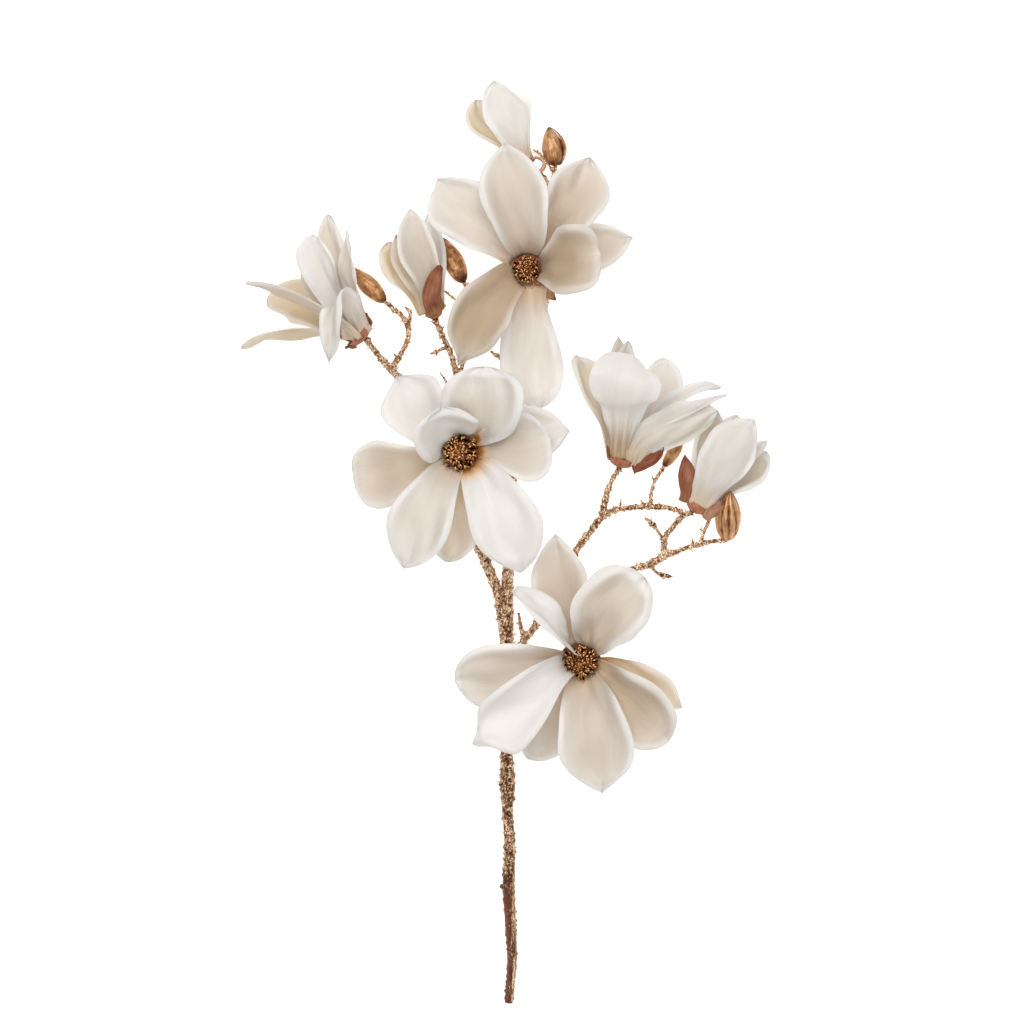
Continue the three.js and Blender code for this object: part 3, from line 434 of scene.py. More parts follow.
def unit(vectors):
    """Each vector over its own length."""
    return vectors / np.maximum(np.linalg.norm(vectors, axis=-1, keepdims=True), 1e-9)


def square_to(vectors, along):
    """What is left of each vector without its part along the other, at length 1."""
    return unit(vectors - along * np.sum(vectors * along, axis=-1, keepdims=True))


CORNER_PRIMES = (73856093, 19349663, 83492791)
SEED_PRIME = 7919
MIXER = 1274126177


def corner_number(corners, seed):
    """A fixed random number from 0 to 1 for each whole-numbered corner of space."""
    mixed = seed * SEED_PRIME
    for axis, prime in enumerate(CORNER_PRIMES):
        mixed = mixed ^ (corners[..., axis].astype(np.int64) * prime)
    mixed = ((mixed ^ (mixed >> 13)) * MIXER) & 0xFFFFFFFF
    return ((mixed ^ (mixed >> 16)) & 0xFFFFFF) / 0xFFFFFF


def cloud(points, size, seed):
    """Soft noise from -1 to 1: random numbers at the corners of cubes, with 3t^2 - 2t^3 blending them."""
    cells = points / size
    corner = np.floor(cells)
    t = smooth(0, 1, cells - corner)
    total = np.zeros(points.shape[:-1])
    for step in np.ndindex(2, 2, 2):
        weight = np.prod(np.where(step, t, 1 - t), axis=-1)
        total += weight * corner_number(corner + step, seed)
    return 2 * total - 1


def pebbles(points, size, seed):
    """How far it is to the nearest of random seed points, one in each cube, over the cube's size."""
    cells = points / size
    home = np.floor(cells)
    nearest = np.full(points.shape[:-1], np.inf)
    for step in np.ndindex(3, 3, 3):
        cube = home + step - 1
        stone = cube + np.stack([corner_number(cube, seed + k) for k in range(3)], axis=-1)
        nearest = np.minimum(nearest, np.sum((cells - stone) ** 2, axis=-1))
    return np.sqrt(nearest)


class Course:
    """A smooth line through stops. Between two of them it is the cubic whose slopes follow from the stops on
    either side, each gap timed by the square root of its length, and it is cut into pieces."""

    PIECES = 40
    HEADING_STEPS = 300

    def __init__(self, stops):
        stops = np.asarray(stops, float)
        row = np.vstack([2 * stops[0] - stops[1], stops, 2 * stops[-1] - stops[-2]])
        gaps = np.maximum(np.linalg.norm(np.diff(row, axis=0), axis=1) ** 0.5, 1e-6)[:, None]
        a, b, c, d = row[:-3], row[1:-2], row[2:-1], row[3:]
        before, here, after = gaps[:-2], gaps[1:-1], gaps[2:]
        leave = ((b - a) / before - (c - a) / (before + here) + (c - b) / here) * here
        reach = ((c - b) / here - (d - b) / (here + after) + (d - c) / after) * here
        t = (np.arange(self.PIECES) / self.PIECES)[None, :, None]
        b, c, leave, reach = (x[:, None] for x in (b, c, leave, reach))
        square = 3 * (c - b) - 2 * leave - reach
        cube = 2 * (b - c) + leave + reach
        cubic = b + leave * t + square * t**2 + cube * t**3
        self.points = np.vstack([cubic.reshape(-1, 3), stops[-1]])
        self.lengths = np.append(0, np.cumsum(np.linalg.norm(np.diff(self.points, axis=0), axis=1)))
        self.length = self.lengths[-1]
        self.stop_lengths = self.lengths[:: self.PIECES]

    def at(self, length):
        """The point that lies that far along."""
        return np.stack([np.interp(length, self.lengths, self.points[:, k]) for k in range(3)], axis=-1)

    def direction(self, length):
        """Where the line heads there, from two points a little before and after."""
        step = self.length / self.HEADING_STEPS
        low = np.clip(length - step, 0, self.length)
        high = np.clip(length + step, 0, self.length)
        return unit(self.at(high) - self.at(low))


class Form:
    """The closed surfaces of one piece in layout millimetres, with the marks that its material reads."""

    def __init__(self, *marks):
        self.points = []
        self.squares = []
        self.corners = []
        self.marks = {mark: [] for mark in ("across", "along", *marks)}
        self.count = 0

    def add(self, points, squares, corners, **marks):
        """Takes a closed surface of four-sided and three-sided faces. It is turned the other way round if its
        volume is negative."""
        points = np.asarray(points, float).reshape(-1, 3)
        squares = np.asarray(squares, np.int64).reshape(-1, 4)
        corners = np.asarray(corners, np.int64).reshape(-1, 3)
        triangles = np.vstack([squares[:, :3], squares[:, [0, 2, 3]], corners])
        a, b, c = (points[triangles[:, k]] - points.mean(axis=0) for k in range(3))
        if np.sum(a * np.cross(b, c)) < 0:
            squares = squares[:, ::-1]
            corners = corners[:, ::-1]
        self.points.append(points)
        self.squares.append(squares + self.count)
        self.corners.append(corners + self.count)
        for mark, values in self.marks.items():
            values.append(np.broadcast_to(np.asarray(marks.get(mark, 0.0), float).ravel(), (len(points),)))
        self.count += len(points)

    def mesh(self, name):
        """The mesh in metres in the packed frame, with across and along as its UV map. What would reach under
        the table is eased onto it: a height z below 1 mm becomes exp(z - 1)."""
        points = np.vstack(self.points) - LAYOUT
        low = np.exp(np.minimum(points[:, 2], 1) - 1)
        points[:, 2] = np.where(points[:, 2] < 1, low, points[:, 2])
        points = points * MM
        squares = np.vstack(self.squares)
        corners = np.vstack(self.corners)
        loops = np.concatenate([squares.ravel(), corners.ravel()]).astype(np.int32)
        starts = np.append(np.arange(len(squares)) * 4, len(squares) * 4 + np.arange(len(corners)) * 3)
        mesh = bpy.data.meshes.new(name)
        mesh.vertices.add(len(points))
        mesh.vertices.foreach_set("co", points.astype(np.float32).ravel())
        mesh.loops.add(len(loops))
        mesh.loops.foreach_set("vertex_index", loops)
        mesh.polygons.add(len(starts))
        mesh.polygons.foreach_set("loop_start", starts.astype(np.int32))
        mesh.polygons.foreach_set("use_smooth", np.ones(len(starts), bool))
        mesh.update(calc_edges=True)
        marks = {mark: np.concatenate(values) for mark, values in self.marks.items()}
        flat = np.column_stack([marks.pop("across"), marks.pop("along")])[loops]
        mesh.uv_layers.new(name="UVMap").data.foreach_set("uv", flat.astype(np.float32).ravel())
        for mark, values in marks.items():
            attribute = mesh.attributes.new(mark, "FLOAT", "POINT")
            attribute.data.foreach_set("value", values.astype(np.float32))
        if mesh.validate():
            raise ValueError(name + ": its mesh has faults")
        return mesh

    def piece(self, name, material, slot, *nodes):
        """Makes the object, which rides on the frame and stands for its nodes."""
        piece = bpy.data.objects.new(name, self.mesh(name))
        bpy.context.scene.collection.objects.link(piece)
        piece.data.materials.append(material)
        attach(piece, BODY)
        if nodes:
            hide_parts(*nodes)
        return piece


def grid_faces(height, width, wrapped=False):
    """The four-sided faces of a grid of points, row after row. wrapped joins the last column to the first."""
    i = np.arange(height - 1)[:, None] * width
    j = np.arange(width if wrapped else width - 1)[None, :]
    k = (j + 1) % width
    return np.stack([i + j, i + k, i + width + k, i + width + j], axis=-1).reshape(-1, 4)


def add_sheet(form, rows, thickness, normal, **marks):
    """A thin closed shell. The middle surface goes half its thickness to either side along its own normal, or
    along the given one where the grid closes to a point, and a strip joins the two skins round the rim."""
    height, width = rows.shape[:2]
    cross = np.cross(np.gradient(rows, axis=1), np.gradient(rows, axis=0))
    flat = np.linalg.norm(cross, axis=-1, keepdims=True) < 1e-5
    out = unit(np.where(flat, normal, cross)) * (np.broadcast_to(thickness, (height, width)) / 2)[..., None]
    points = np.vstack([(rows + out).reshape(-1, 3), (rows - out).reshape(-1, 3)])
    front = grid_faces(height, width)
    back = front[:, ::-1] + height * width
    index = np.arange(height * width).reshape(height, width)
    rim = np.concatenate([index[0, :-1], index[:-1, -1], index[-1, :0:-1], index[:0:-1, 0]])
    after = np.roll(rim, -1)
    strip = np.stack([rim, rim + height * width, after + height * width, after], axis=-1)
    both = {}
    for mark, value in marks.items():
        both[mark] = np.tile(np.broadcast_to(value, (height, width)).ravel(), 2)
    form.add(points, np.vstack([front, back, strip]), [], **both)


def compass(blossom):
    """A blossom's own directions: where it faces, its noon, and east, a quarter turn clockwise of noon."""
    facing = unit(np.array(blossom["facing"], float))
    noon = square_to(np.array(blossom["noon"], float), facing)
    return facing, noon, np.cross(noon, facing)


def half_width(u, q):
    """Half a petal's width at u: its claw's share, which fades as (1 - u)^2, and sin(pi u^k)^blunt of the
    rest. A waist raises that power in the lower half, and a beak takes its share off near the tip."""
    blunt = PETAL["blunt"] + (q["blunt"] - PETAL["blunt"]) * smooth(0.3, 0.85, u)
    narrowed = 1 + q["waist"] * (1 - smooth(0.3, 0.55, u))
    blade = np.sin(np.pi * u ** (np.log(0.5) / np.log(q["widest"]))) ** (blunt * narrowed)
    claw_share = q["claw"] / q["width"] * (1 - u) ** 2
    beak = 1 - q["beak"] * smooth(0.78, 0.96, u)
    return q["width"] / 2 * (claw_share + (1 - claw_share) * blade) * beak


def summed(values, v):
    """The running sum of values over v by the trapezium rule, 0 at the midrib."""
    parts = (values[:, 1:] + values[:, :-1]) / 2 * np.diff(v, axis=1)
    total = np.append(np.zeros((PETAL_ROWS, 1)), np.cumsum(parts, axis=1), axis=1)
    centre = PETAL_COLUMNS // 2
    return total - total[:, centre : centre + 1]


def petal_relief(q, u, v, half, inside, looks, chance):
    """How far a petal stands in from its curl, in millimetres. Its edges flare back as |v|^3. Folds at the
    claw are cosines of v that fade along u, and a crease, exp(-(v / 0.07)^2), follows the midrib. The edge
    swings as |v|^3 times a sine of u. A raised lip, exp(-((d - d0) / w)^2), runs just inside the edge and the
    tip, d from them, and shallow dents are sines of u and v."""
    edge = np.abs(v)
    relief = -q["flare"] * half * edge**3 * smooth(0.25, 0.9, u)
    fold = np.cos(np.pi * (looks.pleats * v + chance.uniform(-0.3, 0.3))) * (1 - smooth(0.05, 0.62, u))
    relief = relief + q["pleat"] * fold * smooth(0, 0.06, u) * (1 - 0.5 * edge)
    crease = np.exp(-((v / 0.07) ** 2)) * smooth(0.03, 0.2, u) * (1 - smooth(0.55, 0.95, u))
    relief = relief - looks.crease * crease
    swings = chance.uniform(0.9, 1.9, 2)
    starts = chance.random(2)
    left, right = (np.sin(TURN * (swing * u + start)) for swing, start in zip(swings, starts))
    loose = edge**3 * smooth(0.15, 0.5, u) * (1 - smooth(0.93, 1, u))
    relief = relief + q["wave"] * np.where(v < 0, left, right) * loose
    lip_place = looks.lip_place / MM * q["broad"]
    lip_width = looks.lip_width / MM * q["broad"]
    lip = np.exp(-(((inside - lip_place) / lip_width) ** 2))
    lip = lip * smooth(0.22, 0.5, u) * (1 - smooth(0.88, 0.98, u))
    other = q["left"].get("lip", q["lip"])
    relief = relief + (other + (q["lip"] - other) * smooth(-0.4, 0.4, v)) * lip
    for _ in range(DENTS):
        a, b, phase = chance.uniform(0.6, 2.4), chance.uniform(-1.3, 1.3), chance.random()
        dent = np.sin(TURN * (a * u + b * v + phase)) * smooth(0, 0.2, u)
        relief = relief + q["dents"] * looks.dents / 2 * dent
    return relief


def petal_surface(blossom, given, looks, seed):
    """The middle surface of a petal, over u from its claw to its tip and v across it from -1 to 1.

    Its midrib runs through the path. Half its width is sin(pi u^k) to the power blunt, with k set so that it
    is widest where it should be. Across, the surface turns by curl v, and back by rim past the band, so that
    the sideways and inward parts are the sums of the cosine and the sine of that turn. The relief is added to
    the inward part.
    """
    q = {**PETAL, **given}
    chance = np.random.default_rng(seed)
    facing, noon, east = compass(blossom)
    clock = np.radians(q["clock"])
    outward = noon * np.cos(clock) + east * np.sin(clock)
    across = east * np.cos(clock) - noon * np.sin(clock)
    place = np.array(blossom["place"], float)
    claw = place + outward * q["ring"] + facing * q["lift"]
    midrib = Course([claw, *(place + np.array(stop, float) for stop in q["path"])])
    u = np.minimum(1 - (1 - np.linspace(0, 1, PETAL_ROWS)) ** 1.8, 1 - 2e-5)
    w = np.linspace(-1, 1, PETAL_COLUMNS)
    v = 0.45 * w + 0.55 * np.sin(np.pi / 2 * w)
    middle = midrib.at(u * midrib.length)
    along = midrib.direction(u * midrib.length)
    side = square_to(across[None, :], along)
    inner = np.cross(side, along)
    roll = np.radians(q["roll"])
    side, inner = side * np.cos(roll) + inner * np.sin(roll), inner * np.cos(roll) - side * np.sin(roll)
    u = u[:, None]
    v = v[None, :]
    edge = np.abs(v)
    half = np.where(v < 0, half_width(u, {**q, **q["left"]}), half_width(u, q))
    half = half * (1 + 0.024 * edge * np.sin(TURN * (chance.uniform(1.6, 3.2) * u + chance.random())))
    opened = smooth(0, 0.4, u)
    curl = np.radians(q["wrap"] * (1 - opened) + q["cup"] * opened)
    rolled = np.radians(q["rim"]) * smooth(0.2, 0.55, u) * np.sign(q["cup"])
    turn = curl * v - rolled * np.sign(v) * smooth(1 - looks.rim_band, 1, edge)
    from_tip = (1 - u) * midrib.length
    inside = -3 * np.log(np.exp(-half * (1 - edge) / 3) + np.exp(-from_tip / 3))
    sideways = half * summed(np.cos(turn), v)
    inwards = half * summed(np.sin(turn), v) + petal_relief(q, u, v, half, inside, looks, chance)
    rows = middle[:, None] + side[:, None] * sideways[..., None] + inner[:, None] * inwards[..., None]
    return rows, u, v, np.broadcast_to(inner[:, None], rows.shape), inside, q


def add_petal(form, blossom, given, looks, seed):
    """A fabric petal, thinner towards its edge. It is painted creamier in its hollow and at its claw, which
    is painted shade, and whiter along its rim, which is a painted highlight. Its claw is brown, partly a real
    stain and partly a painted warm glow, and where it is creamy it is painted yellow, a painted glow of light
    from behind."""
    rows, u, v, inner, inside, q = petal_surface(blossom, given, looks, seed)
    edge = np.abs(v) * np.ones_like(u)
    thickness = looks.thickness / MM * (1 - 0.45 * edge**4) * (1 - 0.4 * smooth(0.9, 1, u))
    # painted shade: the hollow is painted deeper cream, where shade falls inside the cup
    hollow = (1 - edge**2) * smooth(0, 0.25, u) * (1 - smooth(0.55, 0.98, u))
    # the claw term is painted shade: the claw is painted darker cream where the blossom's heart shades it
    tone = q["cream_and_shade"] * (0.5 + 0.5 * hollow) + q["base"] * (1 - smooth(0, 0.45, u))
    # painted highlight: whiter towards the edge and along the rim, where the rolled edge catches the light
    tone = tone - 0.1 * smooth(0.55, 1, edge)
    rim = 1 - smooth(2.5 * q["broad"], 6.5 * q["broad"], inside)
    tone = tone - 0.22 * q["broad"] ** 0.5 * rim * smooth(0.15, 0.4, u)
    # the claw's brown: partly a real stain, partly a painted warm glow of light reflected onto the shaded
    # claw
    stain = q["stain"] * (1 - smooth(0.03, 0.26, u))
    marks = {"tone": np.clip(tone, -0.5, 1), "stain": stain, "yolk": q["yolk"]}
    add_sheet(form, rows, thickness, inner, across=(v + 1) / 2, along=u, **marks)


def add_bract(form, blossom, given, looks, seed):
    """A brown bract: shaped as a petal is, with ribs, cos(7 pi v), that run its whole length."""
    ring = blossom.get("neck", DISC_RADIUS) - BRACT_SEAT
    foot = {"ring": ring, "lift": -BRACT_THICKNESS - GAP}
    seated = {**foot, "rim": 20, "pleat": 0.3, "lip": 0.5, "dents": 0.5, **given}
    rows, u, v, inner, _, q = petal_surface(blossom, seated, looks, seed)
    rib = np.cos(7 * np.pi * v) * smooth(0, 0.1, u) * (1 - smooth(0.85, 1, u))
    rows = rows + inner * (0.22 * rib)[..., None]
    edge = np.abs(v) * np.ones_like(u)
    thickness = BRACT_THICKNESS * (1 - 0.5 * edge**3)
    marks = {"pale": q.get("pale", 0), "red": q.get("red", 0)}
    add_sheet(form, rows, thickness, inner, across=(v + 1) / 2, along=u, **marks)


def seat(name):
    """Where the wood under a bud or a calyx ends."""
    if name in BUDS:
        return np.array(BUDS[name]["foot"], float)
    blossom = BLOSSOMS[name]
    return np.array(blossom["place"], float) - compass(blossom)[0] * (CALYX_DEPTH + GAP)


def add_rings(form, rings, **marks):
    """Closed tubes: rings of points one after another, with a point in the middle of each tube's first and
    last ring. rings holds one tube, or many of the same make."""
    rings = rings.reshape(-1, *rings.shape[-3:])
    tubes, height, width = rings.shape[:3]
    poles = rings[:, [0, -1]].mean(axis=2)
    points = np.concatenate([rings.reshape(tubes, -1, 3), poles], axis=1)
    first = np.arange(width)
    after = (first + 1) % width
    last = (height - 1) * width
    pole = np.full(width, height * width)
    foot = np.stack([pole, after, first], axis=-1)
    head = np.stack([pole + 1, last + first, last + after], axis=-1)
    start = (np.arange(tubes) * points.shape[1])[:, None, None]
    ends = {}
    for mark, value in marks.items():
        value = np.broadcast_to(value, (tubes, height, width))
        ends[mark] = np.concatenate([value.reshape(tubes, -1), value[:, [0, -1]].mean(axis=2)], axis=1)
    squares = grid_faces(height, width, wrapped=True) + start
    form.add(points, squares, np.vstack([foot, head]) + start, **ends)


def round_frame(direction):
    """Two directions square to each heading, from whichever axis lies least along a tube's headings."""
    axis = np.zeros(direction.shape)
    least = np.argmin(np.abs(direction).max(axis=-2), axis=-1)
    np.put_along_axis(axis, np.broadcast_to(least[..., None, None], (*direction.shape[:-1], 1)), 1, axis=-1)
    side = square_to(axis, direction)
    return side, np.cross(direction, side)


def ring_offsets(direction, sides, tall=1.0, broad=1.0):
    """The points of a unit circle round each heading, or of an ellipse."""
    side, other = round_frame(direction)
    angle = (np.arange(sides) * TURN / sides)[:, None]
    return side[..., None, :] * np.cos(angle) * broad + other[..., None, :] * np.sin(angle) * tall


def limb_rings(stretch, looks, chance):
    """A knobbly twig. Its radius at length s and angle a is the stretch's own, plus a swell for each leaf
    scar, exp(-((s - s0) / w)^2) (1 + 0.8 cos(a - a0)), which is lower on a thin twig."""
    stops = [seat(stop[0]) if len(stop) == 2 else np.array(stop[:3], float) for stop in stretch]
    line = Course(stops)
    count = max(int(line.length / looks.ring_step * MM), 3)
    s = np.linspace(0, line.length, count)
    angle = np.arange(looks.sides) * TURN / looks.sides
    radius = np.interp(s, line.stop_lengths, [stop[-1] for stop in stretch])[:, None]
    scars = np.arange(4, line.length, looks.scar_gap / MM)
    scars = scars + chance.uniform(-2.2, 2.2, len(scars))
    around = chance.uniform(0, TURN, len(scars))
    tall = chance.uniform(0.35, 1, len(scars)) * looks.scar_height / MM
    wide = chance.uniform(0.9, 1.7, len(scars))
    off = (s[:, None, None] - scars) / wide
    swell = np.exp(-(off**2)) * (1 + 0.8 * np.cos(angle[None, :, None] - around)) * tall
    radius = radius + swell.sum(axis=-1) * np.minimum(1, radius / 2.6)
    out = ring_offsets(line.direction(s), looks.sides)
    return line.at(s)[:, None] + out * radius[..., None], line


def thorn_places(rings, line, looks, chance):
    """Thorns at random places along a twig and round it, leaning forward out of it: where each one starts,
    where it points, how long it is and how thick."""
    count = int(line.length / looks.spike_gap * MM)
    row = chance.integers(1, len(rings) - 1, count)
    column = chance.integers(0, rings.shape[1], len(row))
    base = rings[row, column]
    out = unit(base - rings[row].mean(axis=1))
    ahead = line.direction(row / (len(rings) - 1) * line.length)
    heading = unit(out + ahead * chance.uniform(0.2, 0.9, len(row))[:, None])
    length = chance.uniform(2.8, 5.8, len(row))
    keep = base[:, 1] > THORNS_END
    radius = chance.uniform(0.6, 1.1, len(row))
    return (base - heading * 0.6)[keep], heading[keep], length[keep], radius[keep]


def add_spikes(form, bases, directions, lengths, radii):
    """Many small thorns at once: each is a cone of four rings whose radius falls off as (1 - t)^0.8."""
    if not len(bases):
        return
    t = np.array((0, 0.35, 0.7, 0.96))
    lines = bases[:, None] + directions[:, None] * (lengths[:, None] * t)[..., None]
    out = ring_offsets(np.repeat(directions[:, None], len(t), axis=1), STALK_SIDES)
    radius = radii[:, None] * (1 - t) ** 0.8
    add_rings(form, lines[:, :, None] + out * radius[..., None, None], height=0.75)


def bark_relief(points, looks, seed):
    """How far the bark stands out at each point, and how bright it shows there. A knob's height is 1 less the
    distance to the nearest pebble. Fine and broad noise lies over the knobs, and a crack is where a noise
    that is drawn out along the stem comes near 0. All of it calms to a quarter towards the stem's cut end."""
    knobs = 1 - pebbles(points, looks.pebble / MM, seed)
    fine = cloud(points, 0.9, seed + 9)
    broad = cloud(points, 5.0, seed + 19)
    crack = smooth(0.75, 1, 1 - np.abs(cloud(points * (1, 0.22, 1), 1.5, seed + 29)))
    calm = 1 - 0.75 * smooth(*CALM, points[:, 1])
    lift = looks.knob / MM * calm * (knobs - 0.4 + 0.25 * fine) + 0.25 * broad * calm - 0.25 * crack * calm
    return lift, np.clip(0.5 + 0.9 * (knobs - 0.45) + 0.25 * fine - 0.5 * crack, 0, 1)


def remeshed(form, name, voxel):
    """The points and four-sided faces of one skin round all of a form's overlapping solids."""
    source = bpy.data.objects.new(name, form.mesh(name))
    bpy.context.scene.collection.objects.link(source)
    modifier = source.modifiers.new("skin", "REMESH")
    modifier.mode = "VOXEL"
    modifier.voxel_size = voxel
    evaluated = source.evaluated_get(bpy.context.evaluated_depsgraph_get())
    skin = bpy.data.meshes.new_from_object(evaluated)
    points = np.empty(len(skin.vertices) * 3, np.float32)
    skin.vertices.foreach_get("co", points)
    normals = np.empty(len(skin.vertices) * 3, np.float32)
    skin.vertex_normals.foreach_get("vector", normals)
    loops = np.empty(len(skin.loops), np.int32)
    skin.loops.foreach_get("vertex_index", loops)
    if len(loops) != 4 * len(skin.polygons):
        raise ValueError(name + ": its skin has faces that aren't four-sided")
    bpy.data.objects.remove(source)
    bpy.data.meshes.remove(skin)
    points = points.reshape(-1, 3).astype(float) / MM + LAYOUT
    return points, normals.reshape(-1, 3).astype(float), loops.reshape(-1, 4)


def add_turned(form, radii, heights, foot, axis, factor, **marks):
    """A turned body: rings of those radii at those heights along an axis, each point's radius times its own
    factor."""
    axis = unit(np.asarray(axis, float))
    side, other = (x[0] for x in round_frame(axis[None, :]))
    sides = factor.shape[1]
    angle = np.arange(sides) * TURN / sides
    out = side * np.cos(angle)[:, None] + other * np.sin(angle)[:, None]
    middle = np.asarray(foot, float) + axis * heights[:, None]
    rings = middle[:, None] + out[None] * (radii[:, None] * factor)[..., None]
    add_rings(form, rings, across=angle / TURN, **marks)


def bud_girth(t, grooves):
    """A bud's radius round it over its profile's, at the share t of its length. Its n grooves wind a little,
    and their valleys are 1 less |sin(n a / 2)|^0.45 at the angle a. A bud without them has two overlapping
    seams instead, where the radius steps back. Both fade out towards foot and tip with sin(pi t)."""
    angle = (np.arange(BUD_SIDES) * TURN / BUD_SIDES)[None, :]
    if grooves:
        valley = 1 - np.abs(np.sin(grooves * (angle + 0.5 * t) / 2)) ** 0.45
        return 1 - 0.3 * valley * np.sin(np.pi * t) ** 0.5
    return 1 + 0.07 * ((2 * angle / TURN + 0.9 * t) % 1) * np.sin(np.pi * t)


def add_scale(form, given, lift, around, reach, low, high):
    """A pointed scale that lies round a bud, from the share low of its length to high. Its skin follows the
    bud's own profile, lift sin(pi t) further out, over an angle of reach sin(pi t)^0.6 to either side of
    around."""
    foot = np.array(given["foot"], float)
    axis = np.array(given["tip"], float) - foot
    length = np.linalg.norm(axis)
    axis = axis / length
    side, other = (x[0] for x in round_frame(axis[None, :]))
    t = np.linspace(0, 1, SCALE_ROWS)[:, None]
    v = np.linspace(-1, 1, SCALE_COLUMNS)[None, :]
    height = low + (high - low) * t
    radius = given["radius"] * (np.interp(height, *BUD_PROFILE) + 0.05) + lift * np.sin(np.pi * t)
    angle = np.radians(around) + np.radians(reach) * v * np.sin(np.pi * (0.12 + 0.86 * t)) ** 0.6
    out = side * np.cos(angle)[..., None] + other * np.sin(angle)[..., None]
    rows = foot + axis * (height * length)[..., None] + out * radius[..., None]
    edge = np.abs(v) * np.ones_like(t)
    marks = {"along": height, "groove": 0.3 * edge**4, "dull": given["dull"]}
    add_sheet(form, rows, 0.9 * (1 - 0.5 * edge**2), out, across=(v + 1) / 2, **marks)


def add_cup(form, blossom, radius, depth, rise, seed):
    """A shallow cup with a torn rim: its profile goes up the outside, over the rim and down the inside. Above
    the foot each height is stretched by a sum of cosines of the angle."""
    shares, levels = np.array(CUP_PROFILE).T
    radii = np.append(CUP_FOOT, shares * radius)[:, None]
    levels = np.append(-1, levels)[:, None]
    chance = np.random.default_rng(seed)
    facing, noon, east = compass(blossom)
    angle = np.arange(CUP_SIDES) * TURN / CUP_SIDES
    torn = 0.8 + 0.16 * np.cos(2 * angle + chance.uniform(0, 6))
    torn = torn + 0.06 * np.cos(7 * angle + chance.uniform(0, 6))
    radii = radii * (1 + 0.02 * np.cos(11 * angle) * np.abs(levels))
    heights = np.where(levels > 0, levels * rise * torn, levels * depth)
    out = noon * np.cos(angle)[:, None] + east * np.sin(angle)[:, None]
    rings = np.array(blossom["place"], float) + out[None] * radii[..., None] + facing * heights[..., None]
    add_rings(form, rings, across=angle / TURN, along=np.linspace(0, 1, len(levels))[:, None])


def add_stamens(form, blossom, spread, looks, seed):
    """A cone of curled stamens in golden-angle order. Each starts on the core at its height share h, heads
    out at an angle from the axis that falls with h, and turns back towards the axis along its length, so that
    its course outwards and upwards is the sum of the sine and the cosine of that angle."""
    chance = np.random.default_rng(seed)
    facing, noon, east = compass(blossom)
    count = looks.count
    k = np.arange(count)
    h = (k + 0.5) / count
    clock = k * GOLDEN_ANGLE + chance.normal(0, 0.12, count)
    out = noon * np.cos(clock)[:, None] + east * np.sin(clock)[:, None]
    beside = east * np.cos(clock)[:, None] - noon * np.sin(clock)[:, None]
    start = np.radians(62 * (1 - h) ** 0.9 + 14 + chance.normal(0, 9, count))
    bend = np.radians(165 + 60 * h + chance.normal(0, 24, count))
    length = spread * looks.length / MM * (1 - 0.4 * h) * chance.uniform(0.8, 1.2, count)
    t = np.linspace(0, 1, len(STAMEN_PROFILE))
    heading = start[:, None] - bend[:, None] * t**1.2
    step = length[:, None] / (len(t) - 1)
    between = (heading[:, 1:] + heading[:, :-1]) / 2
    none = np.zeros((count, 1))
    r = np.append(none, np.cumsum(np.sin(between) * step, axis=1), axis=1)
    z = np.append(none, np.cumsum(np.cos(between) * step, axis=1), axis=1)
    r = r + (spread * (10.4 * (1 - h**1.15) + 0.4))[:, None]
    z = z + (4 + 12.5 * h**0.8)[:, None]
    sway = chance.normal(0, 0.18, count)[:, None] * length[:, None] * t**2
    lines = np.array(blossom["place"], float) + out[:, None] * r[..., None] + facing * z[..., None]
    lines = lines + beside[:, None] * sway[..., None]
    radius = looks.stalk / MM * np.array(STAMEN_PROFILE)
    offsets = ring_offsets(unit(np.gradient(lines, axis=1)), STALK_SIDES, 0.75, 1.3)
    add_rings(form, lines[:, :, None] + offsets * radius[:, None, None], along=t[:, None])


# --------------------------------------------------------------------------------------------------
# Materials
# --------------------------------------------------------------------------------------------------


class Wire:
    """One output socket, so that sums on it read as arithmetic and add their own Math nodes."""

    def __init__(self, paint, socket):
        self.paint = paint
        self.socket = socket

    def maths(self, operation, first, second):
        return self.paint.node("ShaderNodeMath", {"operation": operation}, {0: first, 1: second})

    def __add__(self, other):
        return self.maths("ADD", self, other)

    def __radd__(self, other):
        return self.maths("ADD", other, self)

    def __sub__(self, other):
        return self.maths("SUBTRACT", self, other)

    def __rsub__(self, other):
        return self.maths("SUBTRACT", other, self)

    def __mul__(self, other):
        return self.maths("MULTIPLY", self, other)

    def __rmul__(self, other):
        return self.maths("MULTIPLY", other, self)


